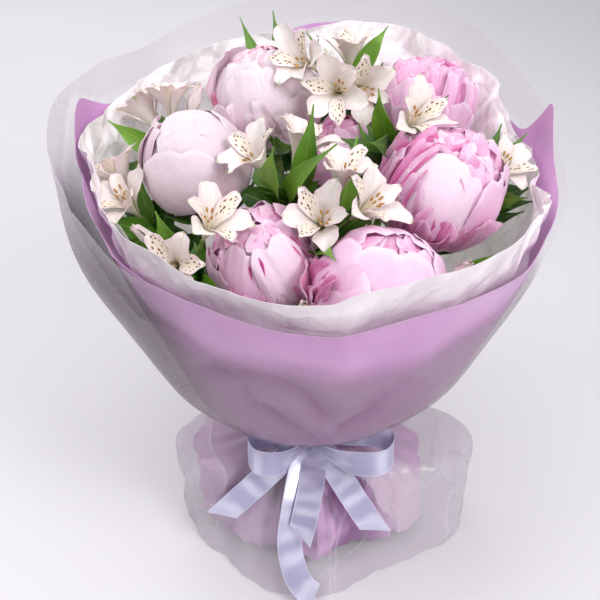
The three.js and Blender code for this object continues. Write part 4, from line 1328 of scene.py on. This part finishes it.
def wrap_grid(rim_table, offset, lean, skirt, columns, inside=True):
    """A wrap's points from its rim, down the bowl, through the tie and out to its hem."""
    a = np.linspace(0, 2 * math.pi, columns, endpoint=False)
    pleat = np.sin(30 * a + 2 * np.sin(5 * a)) + 0.5 * np.sin(47 * a)
    rows = bowl_rows(a, round_the_bunch(rim_table, a), offset, lean, pleat)
    if skirt:
        rows += skirt_rows(a, offset, skirt)
        counts = [12, 12, 12, 8, 6, 6, 5, 5, 7, 8, 12, 12]
    else:
        end = (110 + 0.5 * offset) * np.ones(columns)
        rows.append((NECK + 6 + offset + 1.1 * pleat, end))
        counts = [24, 20, 16, 8, 6, 6, 5, 4, 3]
    profile = through([np.stack(row, axis=-1) for row in rows], counts)
    radius, z = profile[..., 0], profile[..., 1]
    angles = np.broadcast_to(a, z.shape)
    in_bowl = smooth((z - 170) / 40)
    radius = radius - fold_depth(angles, z) * in_bowl
    if inside:
        radius = radius - drawn_in(angles, z)
    return np.stack([radius * np.cos(a), radius * np.sin(a), np.maximum(z, 0.2)], axis=-1)


def pressed_in(grid, depths):
    """The round sheet with each point moved inwards, square to it, by its depth."""
    moved = grid + facing_of(grid, True) * depths[..., None]
    moved[..., 2] = np.maximum(moved[..., 2], 0.2)
    return moved


def add_wrap(named, grid, depths, finish, tone, crease):
    """Makes the piece of a flat sheet that is gathered at the string."""
    skin = Skin()
    skin.add_sheet(pressed_in(grid, depths), PAPER_THICKNESS, finish, tone, closed=True)
    piece = skin.piece(*named, crease=crease)


def make_tissue():
    """The tissue: crumpled all over where it is free, but less at the front."""
    grid = wrap_grid(TISSUE_RIM, -1.5, -2, None, TISSUE_COLUMNS)
    angle = np.arctan2(grid[..., 1], grid[..., 0])
    free = smooth((grid[..., 2] - 215) / 90)
    lively = mix(1.0, 0.35, smooth((-np.sin(angle) - 0.4) / 0.4))
    large = np.abs(creases(grid, 38, 3, 5)) * 8.5 * lively
    small = creases(grid, 17, 5, 5) * 3.2 * lively + creases(grid, 9, 8, 6) * 0.6 * lively
    depths = free * np.maximum(1.5 + large + small, 0.9) + 0.6 * smooth((grid[..., 2] - 170) / 40)
    named = "tissue_lining_sheet", "tissue_white", "tissue_lining"
    # lively is also the tissue's shade attribute: it scales the painted shade of its crinkles and its
    # painted glow, so the front has less of both
    add_wrap(named, grid, depths, TISSUE, lively, 15)


def soft_waves(grid):
    """The slight unevenness that the paper and the film share in the bowl."""
    return creases(grid, 80, 2) * 1.1 * smooth((grid[..., 2] - 190) / 60)


def turned_fold(angles):
    """1 where the lilac skirt is folded over at the right of the bow, with a sharp left edge."""
    degrees = np.degrees(angles) % 360
    return smooth((degrees - 318) / 2.5) * (1 - smooth((degrees - 344) / 8))


def make_lilac():
    """The lilac paper: smooth in the bowl, creased in the skirt, with painted shade in its creases and
    painted light where it is folded over, which is also its paler reverse side.
    """
    grid = wrap_grid(LILAC_RIM, 0, 0, lilac_skirt, WRAP_COLUMNS)
    skirt = smooth((112 - grid[..., 2]) / 20)
    angle = np.arctan2(grid[..., 1], grid[..., 0])
    folded = turned_fold(angle + 0.004 * (grid[..., 2] - 60))
    valleys = np.abs(creases(grid, 46, 5, 5))
    depths = skirt * (valleys * 11 * (1 - folded) + creases(grid, 20, 6, 6) * 2 - 7 * folded)
    # the tone carries painted shade in the skirt's valleys, and the paler folded-over part, partly
    # painted light
    tone = skirt * mix(np.minimum(valleys * 1.1, 0.9) + 0.05, -0.8, folded)
    named = "lilac_wrap_sheet", "paper_lilac", "lilac_wrap"
    add_wrap(named, grid, depths + soft_waves(grid), LILAC, tone, 16)


def film_cover(grid):
    """How milky the film looks at each point: least where it lies on the paper."""
    height = grid[..., 2]
    angle = np.arctan2(grid[..., 1], grid[..., 0])
    line = round_the_bunch(FILM_STANDS_OFF, angle)
    behind = smooth(np.sin(angle) * 2 + 0.5)
    off = smooth((line - height) / mix(26, 110, behind) + 0.5) * mix(1.0, 0.5, behind)
    apart = np.clip(drawn_in(angle, height) / 14, 0, 1)
    free = smooth((height - round_the_bunch(LILAC_RIM, angle)) / 6)
    left = smooth((-np.cos(angle) - 0.5) / 0.3)
    bowl = 0.04 + 0.24 * off + 0.44 * apart + (0.1 + 0.16 * left) * free * (1 - apart)
    near_bow = np.exp(-((np.degrees(angle) % 360 - 292) / 26) ** 2)
    clear = 0.22 * near_bow * smooth((height - 8) / 30)
    skirt = smooth((125 - height) / 20)
    return mix(bowl, 0.27 - clear, skirt)


def make_film():
    """The film: a little outside the paper in the bowl, and crumpled in its wider skirt."""
    grid = wrap_grid(FILM_RIM, 1.5, 3, film_skirt, WRAP_COLUMNS, inside=False)
    skirt = smooth((112 - grid[..., 2]) / 20)
    crumpled = creases(grid, 80, 9, 5) * 6 + creases(grid, 30, 4, 6) * 1.6
    clear_of_paper = 1.2 * smooth((grid[..., 2] - 180) / 40)
    depths = skirt * crumpled + soft_waves(grid) - clear_of_paper
    named = "frosted_film_sheet", "film_frosted", "frosted_film"
    add_wrap(named, grid, depths, FILM, film_cover(grid), 16)


# ---- string and ribbon ----
STRING_STEPS = 360
STRING_TURNS = 3
STRING_TWISTS = 60
STRAND_RADIUS = 0.6
STRAND_LAY = 0.55                        # how far a strand lies from the string's middle


def make_string():
    """Twine of two strands, wound round the stems."""
    middle = OUTER_RING + SPRAY_STEM_RADIUS + STEM_GAP + 1.2
    strands = []
    for strand in (0, math.pi):
        line = []
        for i in range(STRING_STEPS + 1):
            t = i / STRING_STEPS
            angle = 2 * math.pi * STRING_TURNS * t
            lay = 2 * math.pi * STRING_TWISTS * t + strand
            radius = middle + STRAND_LAY * math.cos(lay)
            z = TIE_HEIGHT + mix(-2, 2, t) + STRAND_LAY * math.sin(lay)
            line.append((radius * math.cos(angle), radius * math.sin(angle), z))
        strands.append(line)
    skin = Skin()
    add_rods(skin, strands, STRAND_RADIUS, STRAND_RADIUS, 6, TWINE)
    skin.piece("jute_string", "twine", "string_tie")


BAND_RADIUS = 29.3
KNOT = Vector((0, -34.5, TIE_HEIGHT))

# Points from the knot, along each loop and each tail. A tail also has its end's slant, in
# millimetres, and how many degrees it is twisted on its way.
LOOPS = [
    [(0, 0, 3), (-24, -8, 10), (-46, -14, 12), (-60, -26, 9), (-52, -41, 4), (-28, -38, 0), (0, -6, -3)],
    [(0, 0, 3), (30, -8, 10), (62, -12, 12), (80, -24, 9), (70, -40, 3), (38, -36, -1), (0, -6, -3)],
]
TAILS = [
    ([(-4, -3, -1), (-26, -24, -8), (-56, -38, -32), (-88, -42, -66)], 9, 0),
    ([(4, -3, -1), (20, -26, -10), (42, -46, -38), (64, -56, -72)], -9, 0),
    ([(0, -4, -5), (-8, -24, -16), (-16, -56, -42), (-20, -73, -74), (-12, -88, -104),
      (4, -96, -122)], 5, 35),
    ([(2, -4, -5), (3, -30, -18), (-4, -62, -40), (-10, -75, -60)], -7, -20),
]


def ribbon_grid(points, widths, slant, pinched):
    """A strip of ribbon along the points, with its width turned to the given directions; its
    pinched ends are folded lengthwise."""
    line = through([KNOT + Vector(p) for p in points], [9] * (len(points) - 1))
    over = through(widths, [9] * (len(points) - 1))
    over /= np.linalg.norm(over, axis=1, keepdims=True)
    along = np.gradient(line, axis=0)
    along /= np.linalg.norm(along, axis=1, keepdims=True)
    facing = np.cross(over, along)
    v = np.linspace(0, 1, len(line))
    near_end = np.minimum.reduce([np.abs(v - end) for end in pinched])
    open_width = 0.32 + 0.68 * smooth(near_end / 0.22)
    u = np.linspace(-1, 1, 9)
    sideways = over[:, None] * (u * RIBBON_WIDTH / 2)[None, :, None]
    flat = line[:, None] + sideways * open_width[:, None, None]
    pleats = np.cos(u * 7)[None, :] * 2.2 * (1 - smooth(near_end / 0.22))[:, None]
    bowed = (u**2)[None, :] * 0.5 * open_width[:, None]
    cut = (smooth((v - 0.8) / 0.2)[:, None] * u[None, :]) * slant
    return flat + facing[:, None] * (pleats + bowed)[..., None] + along[:, None] * cut[..., None]


def add_loop(skin, points):
    """A loop, whose width stands almost upright and whose two ends are pinched."""
    widths = [(0, 0.3, 0.95)] * len(points)
    skin.add_sheet(ribbon_grid(points, widths, 0, (0, 1)), RIBBON_THICKNESS, SATIN)


def add_tail(skin, points, slant, twist):
    """A tail, pinched at the knot and cut on a slant at its end."""
    places = np.array(points, float)
    turned = np.linspace(0, math.radians(twist), len(points))
    upwards = np.stack([np.sin(turned), -np.cos(turned), 0.4 * np.cos(turned)], axis=-1)
    widths = np.cross(np.gradient(places, axis=0), upwards)
    skin.add_sheet(ribbon_grid(points, widths, slant, (0,)), RIBBON_THICKNESS, SATIN)


def knot_grid():
    """The knot: a short wrap of ribbon with pleats running round it."""
    v = np.linspace(-1, 1, 13)[:, None]
    a = np.linspace(0, 2 * math.pi, 32, endpoint=False)[None, :]
    swell = np.sqrt(1.02 - v**2) ** 0.7 * (1 + 0.05 * np.sin(9 * v * 3))
    x = 10.5 * v + 0 * a
    y = KNOT.y + 7.2 * swell * np.cos(a)
    z = KNOT.z + 8.2 * swell * np.sin(a)
    return np.stack([x, y, z], axis=-1)


def band_grid():
    """The band round the gathered paper, its width drawn together in folds."""
    v = np.linspace(0, 1, 11)[:, None]
    a = np.linspace(0, 2 * math.pi, 96, endpoint=False)[None, :]
    radius = BAND_RADIUS + 0.45 * np.cos(v * 6 * math.pi) + 0 * a
    z = TIE_HEIGHT + BAND_HEIGHT * (v - 0.5) + 0 * a
    return np.stack([radius * np.cos(a), radius * np.sin(a), z], axis=-1)


def make_ribbon():
    """The whole ribbon as one piece: band, knot, loops and tails."""
    skin = Skin()
    skin.add_sheet(band_grid(), RIBBON_THICKNESS, SATIN, closed=True)
    skin.add_sheet(knot_grid(), RIBBON_THICKNESS, SATIN, closed=True)
    for points in LOOPS:
        add_loop(skin, points)
    for points, slant, twist in TAILS:
        add_tail(skin, points, slant, twist)
    piece = skin.piece("satin_ribbon", "ribbon_satin", "ribbon_bow")


# ---- the bunch ----
def make_peonies():
    """Each peony, with its stem in the inner ring of the spiral or in its middle."""
    for i, (name, bloom) in enumerate(BLOOMS.items()):
        make_bloom(name, bloom, BLOOM_SEED + i)
        if name in INNER_ORDER:
            step = 360 / len(INNER_ORDER)
            angle = math.radians(INNER_START + step * INNER_ORDER.index(name))
            tie = tie_place(INNER_RING, INNER_TILT, angle)
        else:
            tie = (Vector((0, 0, TIE_HEIGHT)), Vector((0, 0, 1)))
        make_peony_stem(name, bloom, tie)


def make_alstroemeria():
    """Each alstroemeria, with its stem in the outer ring of the spiral, then its flowers."""
    for i, (name, spray) in enumerate(SPRAYS.items()):
        angle = math.radians(OUTER_START + i * 360 / len(SPRAYS))
        make_spray_stem(name, spray, tie_place(OUTER_RING, OUTER_TILT, angle), SPRAY_SEED + i)
        for j, mouth in enumerate(spray.flowers + spray.buds):
            opened = j < len(spray.flowers)
            kind = "floret" if opened else "bud"
            seed = FLORET_SEED + 7 * i + j
            make_floret(f"{name}_{kind}_{j + 1}", spray.top, mouth, opened, i + j, seed)


# ---- the studio ----
def make_floor():
    """A plain pale floor, just below the bunch."""
    mesh = bpy.data.meshes.new("studio_floor")
    corners = [(x, y, FLOOR_LEVEL) for x, y in ((-4, -3), (4, -3), (4, 5), (-4, 5))]
    mesh.from_pydata(corners, [], [(0, 1, 2, 3)])
    paint = Paint("pale_floor")
    cloudy = paint.cloud(paint.place(), 0.8, 2.0)
    mesh.materials.append(paint.finish(
        Base_Color=paint.blend(colour(226, 224, 228), colour(238, 236, 239), cloudy), Roughness=0.6))
    floor = placed("studio_floor", mesh)


def add_light(name, place, target, size, watts):
    """A square soft light that is turned to its target."""
    light = bpy.data.lights.new(name, "AREA")
    light.size = size
    light.energy = watts
    holder = placed(name, light)
    holder.location = place
    holder.rotation_euler = (Vector(target) - Vector(place)).to_track_quat("-Z", "Y").to_euler()


def make_studio():
    """The floor, the lights and an even pale light from all sides."""
    make_floor()
    for name, (place, target, size, watts) in LIGHTS.items():
        add_light(name, place, target, size, watts)
    world = bpy.data.worlds.new("soft_white")
    world.use_nodes = True
    sky = world.node_tree.nodes["Background"].inputs
    sky["Color"].default_value = SKY_TINT
    sky["Strength"].default_value = SKY_STRENGTH
    bpy.context.scene.world = world
    bpy.context.scene.view_settings.view_transform = "Standard"


def make_camera():
    """The photo's view, level from side to side and tilted down."""
    camera = bpy.data.cameras.new("view")
    camera.sensor_fit = "HORIZONTAL"
    camera.angle = math.radians(CAMERA_ANGLE)
    holder = placed("view", camera)
    holder.location = CAMERA_PLACE
    holder.rotation_euler = (math.radians(90 - CAMERA_PITCH), 0, 0)
    bpy.context.scene.camera = holder


make_camera()
make_studio()
make_peonies()
make_alstroemeria()
make_tissue()
make_lilac()
make_film()
make_string()
make_ribbon()
